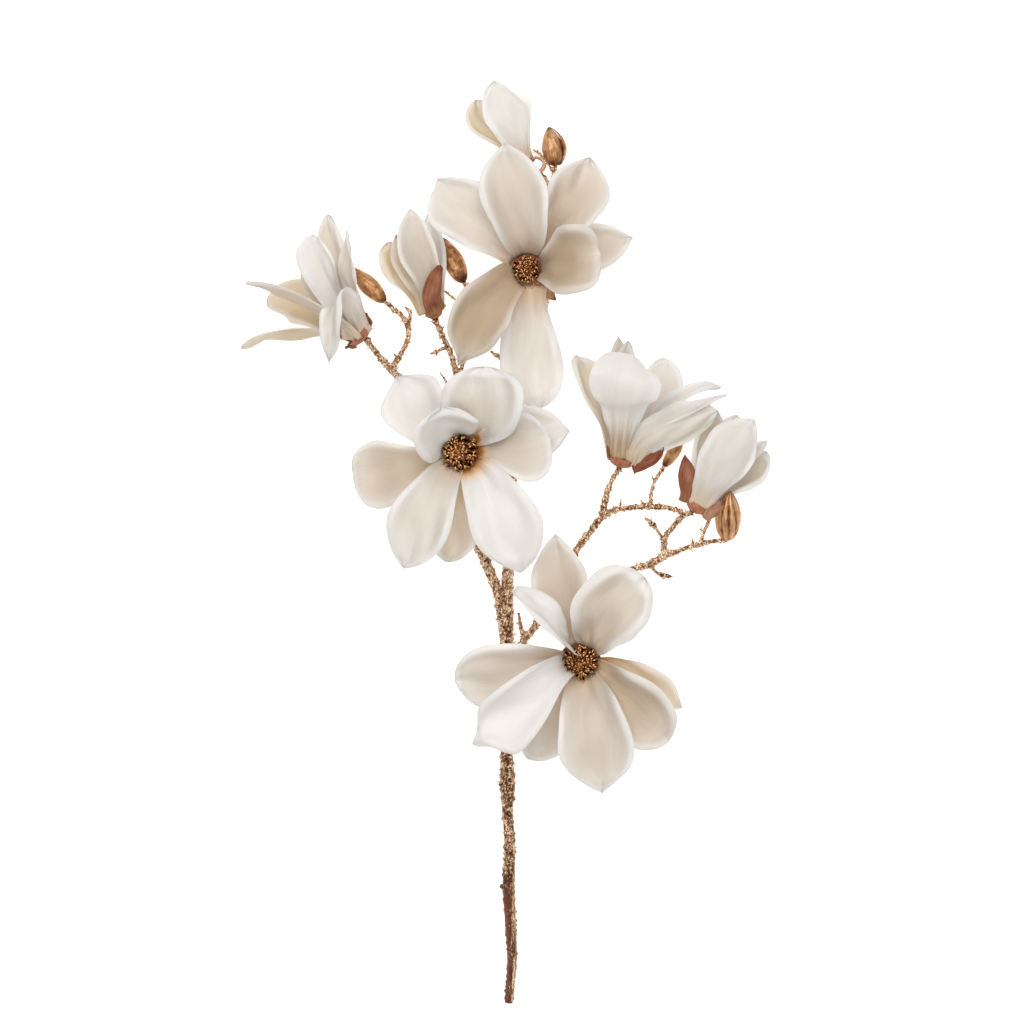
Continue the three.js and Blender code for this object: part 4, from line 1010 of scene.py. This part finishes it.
class Paint:
    """A material and its nodes."""

    def __init__(self, name):
        self.material = bpy.data.materials.new(name)
        self.material.use_nodes = True
        self.tree = self.material.node_tree
        self.tree.nodes.clear()

    def node(self, kind, settings=None, sockets=None, output=0):
        """Adds a node: its settings first, a ramp's stops among them, then its sockets' values or links."""
        node = self.tree.nodes.new(kind)
        for name, value in (settings or {}).items():
            if name == "stops":
                self.set_stops(node.color_ramp, value)
            else:
                setattr(node, name, value)
        for name, value in (sockets or {}).items():
            if isinstance(value, Wire):
                self.tree.links.new(value.socket, node.inputs[name])
            else:
                node.inputs[name].default_value = value
        return Wire(self, node.outputs[output])

    @staticmethod
    def set_stops(ramp, stops):
        while len(ramp.elements) < len(stops):
            ramp.elements.new(1.0)
        for element, (position, colour) in zip(ramp.elements, stops):
            element.position = position
            element.color = (*colour, 1.0)

    def mark(self, name):
        """A number that the mesh holds at each of its points."""
        return self.node("ShaderNodeAttribute", {"attribute_name": name}, output="Fac")

    def place(self, scale=(1, 1, 1)):
        """Object coordinates, stretched."""
        where = self.node("ShaderNodeTexCoord", output="Object")
        return self.node("ShaderNodeMapping", {}, {"Vector": where, "Scale": scale})

    def cloth(self, scale):
        """The piece's own UV map, stretched."""
        where = self.node("ShaderNodeUVMap", {"uv_map": "UVMap"})
        return self.node("ShaderNodeMapping", {}, {"Vector": where, "Scale": scale})

    def noise(self, where, scale, detail=3.0, roughness=0.5, distortion=0.0):
        sockets = {"Vector": where, "Scale": scale, "Detail": detail, "Roughness": roughness}
        return self.node("ShaderNodeTexNoise", {}, {**sockets, "Distortion": distortion})

    def part(self, vector, axis):
        """One coordinate of a vector."""
        return self.node("ShaderNodeSeparateXYZ", {}, {"Vector": vector}, output=axis)

    def along(self):
        """How far along its piece a point lies, 0 at the foot and 1 at the tip."""
        return self.part(self.cloth((1, 1, 1)), "Y")

    def limits(self, value, low, high):
        """0 where the value is low, 1 where it is high, straight between."""
        sockets = {"Value": value, "From Min": low, "From Max": high}
        return self.node("ShaderNodeMapRange", {"clamp": True}, sockets)

    def ramp(self, factor, stops):
        return self.node("ShaderNodeValToRGB", {"stops": stops}, {"Fac": factor})

    def blend(self, factor, first, second):
        """One colour laid over another."""
        wires = {0: factor}
        for socket, colour in ((6, first), (7, second)):
            wires[socket] = colour if isinstance(colour, Wire) else (*colour, 1.0)
        return self.node("ShaderNodeMix", {"data_type": "RGBA"}, wires, output=2)

    def bump(self, height, distance, strength=1.0):
        sockets = {"Height": height, "Distance": distance, "Strength": strength}
        return self.node("ShaderNodeBump", {}, sockets)

    def light_through(self, colour, normal):
        """A shader that lets light through from behind in one colour."""
        return self.node("ShaderNodeBsdfTranslucent", {}, {"Color": (*colour, 1.0), "Normal": normal})

    def mixed(self, share, first, second):
        """Two shaders in one: the first where the share is 0, the second where it is 1."""
        return self.node("ShaderNodeMixShader", {}, {0: share, 1: first, 2: second})

    def surface(self, sockets, share=None, behind=None):
        """The finished surface. A share of it may be another shader, such as light from behind."""
        shader = self.node("ShaderNodeBsdfPrincipled", {}, sockets)
        if behind:
            shader = self.mixed(share, shader, behind)
        output = self.tree.nodes.new("ShaderNodeOutputMaterial")
        self.tree.links.new(shader.socket, output.inputs["Surface"])
        return self.material


def petal_cloth(looks):
    """Matt cream fabric: white where its mark is 0, deep cream where it is 1, brown at a stained claw. Fine
    veins run from claw to tip, a close weave lies over them, and some light comes through from behind."""
    paint = Paint("petal_cloth")
    veins = paint.noise(paint.cloth((58, 2.4, 1)), 1.0, 4.0, 0.62, 0.35)
    broad = paint.noise(paint.cloth((9, 1.6, 1)), 1.0, 3.0, 0.55, 0.5)
    drift = paint.noise(paint.place(), 26.0, 3.0)
    tone = paint.mark("tone") + (veins - 0.5) * 0.13 + (broad - 0.5) * 0.16 + (drift - 0.5) * 0.18
    cloth = paint.ramp(tone, [(0.0, looks.white), (0.45, looks.cream), (1.0, looks.deep)])
    # painted glow: yellow laid over the cloth where light coming through it from behind is painted
    yolk = paint.mark("yolk") * paint.limits(tone, -0.3, 0.7)
    cloth = paint.blend(yolk, cloth, looks.yolk)
    # brown at the claw: partly a real stain, partly a painted warm glow on the shaded claw
    stain = paint.mark("stain") + (veins - 0.5) * 0.35
    brown = paint.limits(stain, 0.02, 0.6)
    cloth = paint.blend(brown, cloth, paint.ramp(stain, [(0.3, looks.amber), (0.8, looks.stain)]))
    weave = paint.noise(paint.place(), 2600.0, 1.0)
    normal = paint.bump(veins * 0.9 + broad * 0.8 + weave * 0.1, 0.0008, 0.7)
    sockets = {
        "Base Color": cloth,
        "Roughness": 0.52,
        "Sheen Weight": 0.1,
        "Sheen Roughness": 0.5,
        "Specular IOR Level": 0.4,
        "Normal": normal,
    }
    white, deep, yellow = (
        paint.light_through([c * t for c, t in zip(colour, looks.through)], normal)
        for colour in (looks.white, looks.deep, looks.yolk)
    )
    behind = paint.mixed(yolk, paint.mixed(paint.limits(tone, 0.0, 1.0), white, deep), yellow)
    return paint.surface(sockets, (1 - brown * 0.8) * looks.glow, behind)


def bract_cloth(looks):
    """Rust-brown fabric with fine streaks, paler or redder where its marks say so, with a yellow-green foot
    and a darker tip."""
    paint = Paint("bract_cloth")
    streak = paint.noise(paint.cloth((30, 2.5, 1)), 1.0, 4.0, 0.6, 0.3)
    mottle = paint.noise(paint.place(), 90.0, 3.0)
    shade = streak * 0.6 + mottle * 0.4
    colour = paint.ramp(shade, [(0.3, looks.dark), (0.5, looks.brown), (0.72, looks.tan)])
    along = paint.along()
    foot = paint.limits(along + (streak - 0.5) * 0.2, 0.2, 0.0)
    colour = paint.blend(foot * 0.5 * (1 - paint.mark("red")), colour, looks.foot)
    colour = paint.blend(paint.mark("pale") * paint.limits(shade, 0.2, 0.6), colour, looks.pale)
    colour = paint.blend(paint.mark("red") * paint.limits(shade, 0.75, 0.3), colour, looks.red)
    tip = paint.limits(along + (mottle - 0.5) * 0.2, 0.82, 1.0)
    colour = paint.blend(tip * 0.7, colour, looks.tip)
    normal = paint.bump(streak * 0.8 + paint.noise(paint.place(), 1800.0, 2.0) * 0.3, 0.0006, 0.7)
    sockets = {"Base Color": colour, "Roughness": 0.7, "Specular IOR Level": 0.3, "Normal": normal}
    return paint.surface(sockets)


def gilt(name, stem, looks):
    """Rose-gold leaf worn over dark brown: bright on what stands out, brown in the hollows, with fine grain,
    and painted near-white glints where it is brightest. On the stem it grows duller towards the cut end, and
    the lowest stretch is smoother, in streaks along it, and painted shade makes it dark red-brown on its left
    side."""
    paint = Paint(name)
    grain = paint.noise(paint.place(), 1000.0, 3.0, 0.6)
    flakes = paint.noise(paint.place((1, 0.55, 1) if stem else (1, 1, 1)), 420.0, 3.0, 0.6, 0.5)
    patches = paint.noise(paint.place(), 110.0, 3.0, 0.6)
    worn = paint.mark("height") * 0.7 + (0.19 if stem else 0.14) + (flakes - 0.5) * 1.7
    worn = worn + (grain - 0.5) * 0.7 + (patches - 0.5) * 0.5
    if stem:
        strands = paint.noise(paint.place((900, 34, 900)), 1.0, 4.0, 0.6, 0.4)
        across, along = (paint.part(paint.place(), axis) for axis in "XY")
        low_end = paint.limits(along, *LOW_END)
        # painted shade: the left side of the stem's low end is painted darker and red-brown
        shaded = paint.limits(across + (strands - 0.5) * 0.008, *SHADED) * low_end
        dulled = paint.limits(along, *DULLED) * 0.2
        worn = worn * (1 - low_end) + low_end * ((strands - 0.5) * 2.6 + 0.48) - shaded * 0.5 - dulled
    # the pale stop is a painted glint: the brightest gilding is painted near-white
    stops = [(0.06, looks.hollow), (0.34, looks.bronze), (0.62, looks.gold), (0.95, looks.pale)]
    gold = paint.ramp(worn, stops)
    if stem:
        gold = paint.blend(shaded * 0.75, gold, looks.shaded_side_brown)
    rough = paint.limits(worn, 0.1, 0.9) * -0.2 + 0.34
    metal = paint.limits(worn, 0.0, 0.5) * 0.25 + 0.72
    normal = paint.bump(flakes * 1.1 + grain * 0.5, 0.0016)
    return paint.surface({"Base Color": gold, "Roughness": rough, "Metallic": metal, "Normal": normal})


def smooth_gilt(looks):
    """The buds' satin gilding, with lines along them. It is thin and brown at the foot, at the tip and in the
    grooves, and less bright where a bud is dull."""
    paint = Paint("bud_gilt")
    lines = paint.noise(paint.cloth((46, 3, 1)), 1.0, 4.0, 0.6, 0.25)
    patches = paint.noise(paint.place(), 160.0, 3.0, 0.6)
    along = paint.along()
    foot = paint.limits(along, 0.22, 0.0)
    tip = paint.limits(along, 0.85, 1.0)
    dull = paint.mark("dull")
    worn = 0.62 + (lines - 0.5) * 0.9 + (patches - 0.5) * (dull * 0.8 + 0.6) - foot * 0.35 - tip * 0.4
    worn = worn - paint.mark("groove") * 0.36 - dull * 0.3
    gold = paint.ramp(worn, [(0.1, looks.hollow), (0.42, looks.bud_bronze), (0.78, looks.bud_gold)])
    rough = paint.limits(worn, 0.1, 0.9) * -0.25 + 0.46 + dull * 0.12
    normal = paint.bump(lines * 0.6 + paint.noise(paint.place(), 1500.0, 3.0) * 0.5, 0.0009, 0.8)
    return paint.surface({"Base Color": gold, "Roughness": rough, "Metallic": 0.95, "Normal": normal})


def stamen_gilt(looks):
    """Curled stamens: dark brown where they leave the core, gold towards their tips."""
    paint = Paint("stamen_gilt")
    mottle = paint.noise(paint.place(), 700.0, 3.0)
    reach = paint.along() + (mottle - 0.5) * 0.7
    gold = paint.ramp(reach, [(0.3, looks.core), (0.62, looks.brown), (0.95, looks.gold)])
    normal = paint.bump(mottle, 0.0004, 0.6)
    return paint.surface({"Base Color": gold, "Roughness": 0.24, "Metallic": 0.8, "Normal": normal})


def calyx_cloth(looks):
    """The brick-brown cup under a blossom, ribbed and mottled."""
    paint = Paint("calyx_cloth")
    mottle = paint.noise(paint.place(), 220.0, 4.0, 0.6)
    ribs = paint.noise(paint.cloth((26, 2, 1)), 1.0, 3.0)
    shade = mottle * 0.6 + ribs * 0.5
    colour = paint.ramp(shade, [(0.3, looks.cup_dark), (0.55, looks.cup_brick), (0.8, looks.cup_tan)])
    normal = paint.bump(shade, 0.0008, 0.7)
    return paint.surface({"Base Color": colour, "Roughness": 0.65, "Normal": normal})


def floor_paint(looks):
    """A plain pale tabletop, faintly mottled, that gives back a little light of its own."""
    paint = Paint("floor_paint")
    mottle = paint.noise(paint.place(), 3.0, 2.0)
    colour = paint.blend(mottle * 0.3, looks.floor, [c * 0.985 for c in looks.floor])
    sockets = {
        "Base Color": colour,
        "Roughness": 0.9,
        "Specular IOR Level": 0.0,
        "Emission Color": (1.0, 1.0, 1.0, 1.0),
        "Emission Strength": looks.floor_glow,
    }
    return paint.surface(sockets)


# --------------------------------------------------------------------------------------------------
# What a user may change
# --------------------------------------------------------------------------------------------------


def colour_prop(name, description, default):
    return bpy.props.FloatVectorProperty(
        name=name, description=description, default=default, size=3, min=0, max=1, subtype="COLOR"
    )


def length_prop(name, description, default):
    return bpy.props.FloatProperty(
        name=name,
        description=description,
        default=default,
        min=0,
        precision=5,
        subtype="DISTANCE",
        unit="LENGTH",
    )


def number_prop(name, description, default):
    return bpy.props.FloatProperty(name=name, description=description, default=default, min=0)


class MagnoliaPetalLooks(bpy.types.PropertyGroup):
    """Sizes and colours of the petals."""

    thickness: length_prop("Thickness", "Thickness of a petal's fabric at its midrib", 0.0009)
    rim_band: number_prop("Rim band", "Share of half the width over which the edge rolls out", 0.3)
    lip_place: length_prop("Lip place", "How far inside the edge the raised lip runs", 0.0045)
    lip_width: length_prop("Lip width", "How broad it is", 0.0048)
    pleats: number_prop("Pleats", "Folds across a claw", 4.0)
    crease: number_prop("Crease", "Depth of the crease along a midrib, in millimetres", 0.35)
    dents: number_prop("Dents", "Height of the shallow dents in a petal, in millimetres", 1.3)
    glow: number_prop("Glow", "Share of light that comes through from behind", 0.36)
    through: colour_prop("Through", "Tint of that light", (1.0, 0.975, 0.925))
    white: colour_prop("White", "Colour of the whitest cloth", (0.92, 0.91, 0.9))
    cream: colour_prop("Cream", "Colour of plain cloth", (0.78, 0.715, 0.64))
    # deep cream also paints shade: in the hollows, at the claws and on petals that lie in shade
    deep: colour_prop("Deep cream", "Colour of the creamiest cloth", (0.62, 0.49, 0.34))
    # the colour of the painted yellow glow of light through a petal from behind
    yolk: colour_prop("Yolk", "Colour of the yellowest cloth", (0.84, 0.73, 0.53))
    # amber and the claw's brown paint a real stain and, in part, a warm glow of reflected light on the shaded
    # claw
    amber: colour_prop("Amber", "Colour of a lightly stained claw", (0.84, 0.52, 0.22))
    stain: colour_prop("Stain", "Colour of a deeply stained claw", (0.46, 0.17, 0.03))


class MagnoliaBractLooks(bpy.types.PropertyGroup):
    """Colours of the bracts and of the cups under the blossoms."""

    dark: colour_prop("Dark", "Colour of a bract's darkest streaks", (0.11, 0.032, 0.015))
    brown: colour_prop("Brown", "Colour of a plain bract", (0.28, 0.1, 0.05))
    tan: colour_prop("Tan", "Colour of its lightest streaks", (0.48, 0.22, 0.125))
    foot: colour_prop("Foot", "Colour of its foot", (0.30, 0.22, 0.06))
    tip: colour_prop("Tip", "Colour of its tip", (0.13, 0.02, 0.015))
    pale: colour_prop("Pale", "Colour of a faded bract", (0.72, 0.45, 0.3))
    red: colour_prop("Red", "Colour of a red bract", (0.18, 0.035, 0.012))
    cup_dark: colour_prop("Cup dark", "Colour of a cup's hollows", (0.14, 0.035, 0.018))
    cup_brick: colour_prop("Cup brick", "Colour of a plain cup", (0.37, 0.12, 0.055))
    cup_tan: colour_prop("Cup tan", "Colour of its lightest spots", (0.55, 0.28, 0.15))


class MagnoliaWoodLooks(bpy.types.PropertyGroup):
    """Sizes and colours of the wood and the buds."""

    sides: bpy.props.IntProperty(name="Sides", description="Points round a twig", default=26, min=8)
    ring_step: length_prop("Ring step", "Distance between a twig's rings", 0.0008)
    scar_gap: length_prop("Scar gap", "Distance between leaf scars", 0.0052)
    scar_height: length_prop("Scar height", "How far a leaf scar stands out", 0.0011)
    voxel: length_prop("Voxel", "Fineness of the skin that joins the twigs", 0.00065)
    pebble: length_prop("Pebble", "Size of the bark's knobs", 0.0017)
    knob: length_prop("Knob", "How far they stand out", 0.0007)
    spike_gap: length_prop("Spike gap", "Distance between thorns", 0.0048)
    # pale paints glints: a near-white colour in the gilding's brightest spots
    pale: colour_prop("Pale", "Colour where the gilding glints", (1.0, 0.88, 0.76))
    gold: colour_prop("Gold", "Colour of the bright gilding", (0.94, 0.68, 0.46))
    bronze: colour_prop("Bronze", "Colour of the worn gilding", (0.4, 0.22, 0.115))
    hollow: colour_prop("Hollow", "Colour in the hollows", (0.075, 0.03, 0.014))
    # the colour of the painted shade on the stem's left side near its cut end
    shaded_side_brown: colour_prop("Rust", "Colour of the stem's shaded side near its cut end", (0.24, 0.075, 0.042))
    bud_gold: colour_prop("Bud gold", "Colour of the buds' bright gilding", (0.86, 0.56, 0.33))
    bud_bronze: colour_prop("Bud bronze", "Colour of their worn gilding", (0.46, 0.22, 0.09))


class MagnoliaStamenLooks(bpy.types.PropertyGroup):
    """Sizes and colours of the stamens."""

    count: bpy.props.IntProperty(name="Count", description="Stamens on a cone", default=210, min=10)
    length: length_prop("Length", "Length of a stamen", 0.0092)
    stalk: length_prop("Stalk", "Radius of a stamen", 0.00076)
    gold: colour_prop("Gold", "Colour of the tips", (0.82, 0.45, 0.19))
    brown: colour_prop("Brown", "Colour of the stalks", (0.2, 0.055, 0.012))
    core: colour_prop("Core", "Colour of the core", (0.035, 0.009, 0.002))


class MagnoliaStageLooks(bpy.types.PropertyGroup):
    """The camera, the lights and the table."""

    height: length_prop("Camera height", "How far above the table the camera hangs", 2.2256)
    lens: number_prop("Lens", "Focal length on a 36 mm frame, in millimetres", 85.0)
    key: number_prop("Key light", "Power of the large soft light, in watts", 26.0)
    fill: number_prop("Fill light", "Power of the light across from it, in watts", 9.0)
    sky: number_prop("Sky", "Brightness of the room", 0.34)
    sky_colour: colour_prop("Sky colour", "Colour of the room's light", (1.0, 0.99, 0.97))
    floor: colour_prop("Table", "Colour of the tabletop", (0.93, 0.93, 0.93))
    floor_glow: number_prop("Table glow", "Light that the tabletop gives back by itself", 0.64)


LOOKS = {
    "magnolia_petals": MagnoliaPetalLooks,
    "magnolia_bracts": MagnoliaBractLooks,
    "magnolia_wood": MagnoliaWoodLooks,
    "magnolia_stamens": MagnoliaStamenLooks,
    "magnolia_stage": MagnoliaStageLooks,
}


# --------------------------------------------------------------------------------------------------
# The spray's pieces, one operator for each group
# --------------------------------------------------------------------------------------------------


def build_petals(context, names):
    """Makes the petals and slivers of the named blossoms. Two joined petals are one piece."""
    looks = context.scene.magnolia_petals
    cloth = bpy.data.materials.get("petal_cloth") or petal_cloth(looks)
    for order, (name, blossom) in enumerate(BLOSSOMS.items()):
        if name not in names:
            continue
        first, second = blossom.get("joined", (0, 0))
        for number, given in enumerate(blossom["petals"], 1):
            if number == second:
                continue
            form = Form("tone", "stain", "yolk")
            add_petal(form, blossom, given, looks, (order, number))
            if number == first:
                add_petal(form, blossom, blossom["petals"][second - 1], looks, (order, second))
            form.piece(f"{name}_blossom_petal_{number}", cloth, "petal", f"{name}_petal_{number}")
        for number, given in enumerate(blossom.get("slivers", []), 1):
            form = Form("tone", "stain", "yolk")
            add_petal(form, blossom, given, looks, (order, SLIVER_SEED + number))
            form.piece(f"{name}_blossom_sliver_{number}", cloth, "petal")


class MAGNOLIA_OT_open_petals(bpy.types.Operator):
    """Makes the petals of the three open blossoms"""

    bl_idname = "magnolia.open_petals"
    bl_label = "Open blossoms' petals"

    def execute(self, context):
        build_petals(context, ("top", "middle", "lower"))
        return {"FINISHED"}


class MAGNOLIA_OT_side_petals(bpy.types.Operator):
    """Makes the petals of the five blossoms seen from the side"""

    bl_idname = "magnolia.side_petals"
    bl_label = "Side blossoms' petals"

    def execute(self, context):
        build_petals(context, ("left", "upper_left", "crown", "right", "far_right"))
        return {"FINISHED"}


class MAGNOLIA_OT_stamens(bpy.types.Operator):
    """Makes the cones of curled stamens"""

    bl_idname = "magnolia.stamens"
    bl_label = "Stamens"

    def execute(self, context):
        looks = context.scene.magnolia_stamens
        gold = stamen_gilt(looks)
        radii, heights = np.array(CORE_PROFILE, float).T
        even = np.ones((len(heights), CORE_SIDES))
        for number, (name, spread) in enumerate(STAMENS.items()):
            blossom = BLOSSOMS[name]
            form = Form()
            add_turned(form, radii * spread, heights, blossom["place"], blossom["facing"], even)
            add_stamens(form, blossom, spread, looks, STAMEN_SEED + number)
            form.piece(name + "_blossom_stamens", gold, "stamen", name + "_stamens")
        return {"FINISHED"}


class MAGNOLIA_OT_calyces(bpy.types.Operator):
    """Makes the calyces and bracts of the side blossoms and the discs under the open ones"""

    bl_idname = "magnolia.calyces"
    bl_label = "Calyces and bracts"

    def execute(self, context):
        looks = context.scene.magnolia_petals
        cup = calyx_cloth(context.scene.magnolia_bracts)
        brown = bract_cloth(context.scene.magnolia_bracts)
        for order, (name, blossom) in enumerate(BLOSSOMS.items()):
            radius = blossom.get("neck", DISC_RADIUS)
            depth = CALYX_DEPTH if "neck" in blossom else DISC_DEPTH
            rise = blossom.get("cup_rise", DISC_RISE)
            form = Form()
            add_cup(form, blossom, radius, depth, rise, CUP_SEED + order)
            nodes = [name + "_calyx"] if name + "_calyx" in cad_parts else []
            form.piece(name + "_blossom_cup", cup, "bract", *nodes)
            if "bracts" in blossom:
                leaves = Form("pale", "red")
                for number, given in enumerate(blossom["bracts"]):
                    add_bract(leaves, blossom, given, looks, (BRACT_SEED + order, number))
                leaves.piece(name + "_blossom_bracts", brown, "bract", *nodes)
        return {"FINISHED"}


class MAGNOLIA_OT_wood(bpy.types.Operator):
    """Makes the stem and the two side branches with their knobs and thorns"""

    bl_idname = "magnolia.wood"
    bl_label = "Wood"

    def execute(self, context):
        looks = context.scene.magnolia_wood
        for order, (name, stretches) in enumerate(WOOD.items()):
            chance = np.random.default_rng(WOOD_SEED + order)
            rough = Form()
            thorns = []
            for stretch in stretches:
                rings, line = limb_rings(stretch, looks, chance)
                add_rings(rough, rings)
                thorns.append(thorn_places(rings, line, looks, chance))
            points, normals, squares = remeshed(rough, name + "_rough", looks.voxel)
            lift, shown = bark_relief(points, looks, order)
            form = Form("height")
            form.add(points + normals * lift[:, None], squares, [], height=shown)
            for places in thorns:
                add_spikes(form, *places)
            bark = gilt(name + "_gilt", name == "main_stem", looks)
            form.piece(name + "_bark", bark, "bark", name)
        return {"FINISHED"}


class MAGNOLIA_OT_buds(bpy.types.Operator):
    """Makes the five gilt buds"""

    bl_idname = "magnolia.buds"
    bl_label = "Buds"

    def execute(self, context):
        gold = smooth_gilt(context.scene.magnolia_wood)
        t = np.linspace(0, 1, BUD_ROWS)
        shares = np.interp(t, *BUD_PROFILE)
        for name, given in BUDS.items():
            foot = np.array(given["foot"], float)
            axis = np.array(given["tip"], float) - foot
            girth = bud_girth(t[:, None], given.get("grooves", 0))
            form = Form("groove", "dull")
            marks = {"along": t[:, None], "groove": np.clip((1 - girth) / 0.2, 0, 1), "dull": given["dull"]}
            add_turned(form, shares * given["radius"], t * np.linalg.norm(axis), foot, axis, girth, **marks)
            for scale in given.get("scales", []):
                add_scale(form, given, *scale)
            form.piece(name + "_gilt", gold, "bud", name)
        return {"FINISHED"}


class MAGNOLIA_OT_stage(bpy.types.Operator):
    """Makes the table, the lights and the camera that hangs over the spray"""

    bl_idname = "magnolia.stage"
    bl_label = "Stage"

    def execute(self, context):
        scene = context.scene
        looks = scene.magnolia_stage
        centre = -LAYOUT * MM
        corners = [(x * TABLE_HALF, y * TABLE_HALF, 0) for x, y in ((-1, -1), (1, -1), (1, 1), (-1, 1))]
        floor = bpy.data.meshes.new("table")
        floor.from_pydata(corners, [], [(0, 1, 2, 3)])
        floor.materials.append(floor_paint(looks))
        table = bpy.data.objects.new("table", floor)
        scene.collection.objects.link(table)
        camera = bpy.data.objects.new("camera", bpy.data.cameras.new("camera"))
        camera.data.lens = looks.lens
        camera.data.sensor_width = SENSOR_WIDTH
        camera.data.clip_end = CLIP_END
        camera.location = (centre[0], centre[1], looks.height)
        scene.collection.objects.link(camera)
        scene.camera = camera
        for name, (size, place) in LAMPS.items():
            self.add_lamp(scene, name, getattr(looks, name), size, place, centre)
        world = bpy.data.worlds.new("room")
        world.use_nodes = True
        room = world.node_tree.nodes["Background"].inputs
        room["Color"].default_value = (*looks.sky_colour, 1.0)
        room["Strength"].default_value = looks.sky
        scene.world = world
        scene.view_settings.view_transform = "Standard"
        return {"FINISHED"}

    @staticmethod
    def add_lamp(scene, name, power, size, place, target):
        """A square lamp that looks at the target."""
        light = bpy.data.lights.new(name, "AREA")
        light.energy = power
        light.shape = "SQUARE"
        light.size = size
        lamp = bpy.data.objects.new(name, light)
        away = np.array(place) - target
        lamp.location = place
        lamp.rotation_euler = Vector(tuple(away)).to_track_quat("Z", "Y").to_euler()
        scene.collection.objects.link(lamp)


class MAGNOLIA_PT_panel(bpy.types.Panel):
    """Lists the spray's pieces and what may be changed about them"""

    bl_idname = "MAGNOLIA_PT_panel"
    bl_label = "Magnolia spray"
    bl_space_type = "VIEW_3D"
    bl_region_type = "UI"
    bl_category = "Magnolia"

    def draw(self, context):
        for operator in OPERATORS:
            self.layout.operator(operator.bl_idname)
        for key, looks in LOOKS.items():
            box = self.layout.box()
            box.label(text=looks.__doc__)
            for name in looks.__annotations__:
                box.prop(getattr(context.scene, key), name)


OPERATORS = (
    MAGNOLIA_OT_stage,
    MAGNOLIA_OT_open_petals,
    MAGNOLIA_OT_side_petals,
    MAGNOLIA_OT_stamens,
    MAGNOLIA_OT_calyces,
    MAGNOLIA_OT_wood,
    MAGNOLIA_OT_buds,
)


def register():
    for looks in LOOKS.values():
        bpy.utils.register_class(looks)
    for key, looks in LOOKS.items():
        setattr(bpy.types.Scene, key, bpy.props.PointerProperty(type=looks))
    for operator in OPERATORS:
        bpy.utils.register_class(operator)
    bpy.utils.register_class(MAGNOLIA_PT_panel)


def unregister():
    bpy.utils.unregister_class(MAGNOLIA_PT_panel)
    for operator in reversed(OPERATORS):
        bpy.utils.unregister_class(operator)
    for key, looks in LOOKS.items():
        delattr(bpy.types.Scene, key)
        bpy.utils.unregister_class(looks)


def main():
    register()
    bpy.ops.magnolia.stage()
    bpy.ops.magnolia.open_petals()
    bpy.ops.magnolia.side_petals()
    bpy.ops.magnolia.stamens()
    bpy.ops.magnolia.calyces()
    bpy.ops.magnolia.wood()
    bpy.ops.magnolia.buds()


if __name__ == "__main__":
    main()
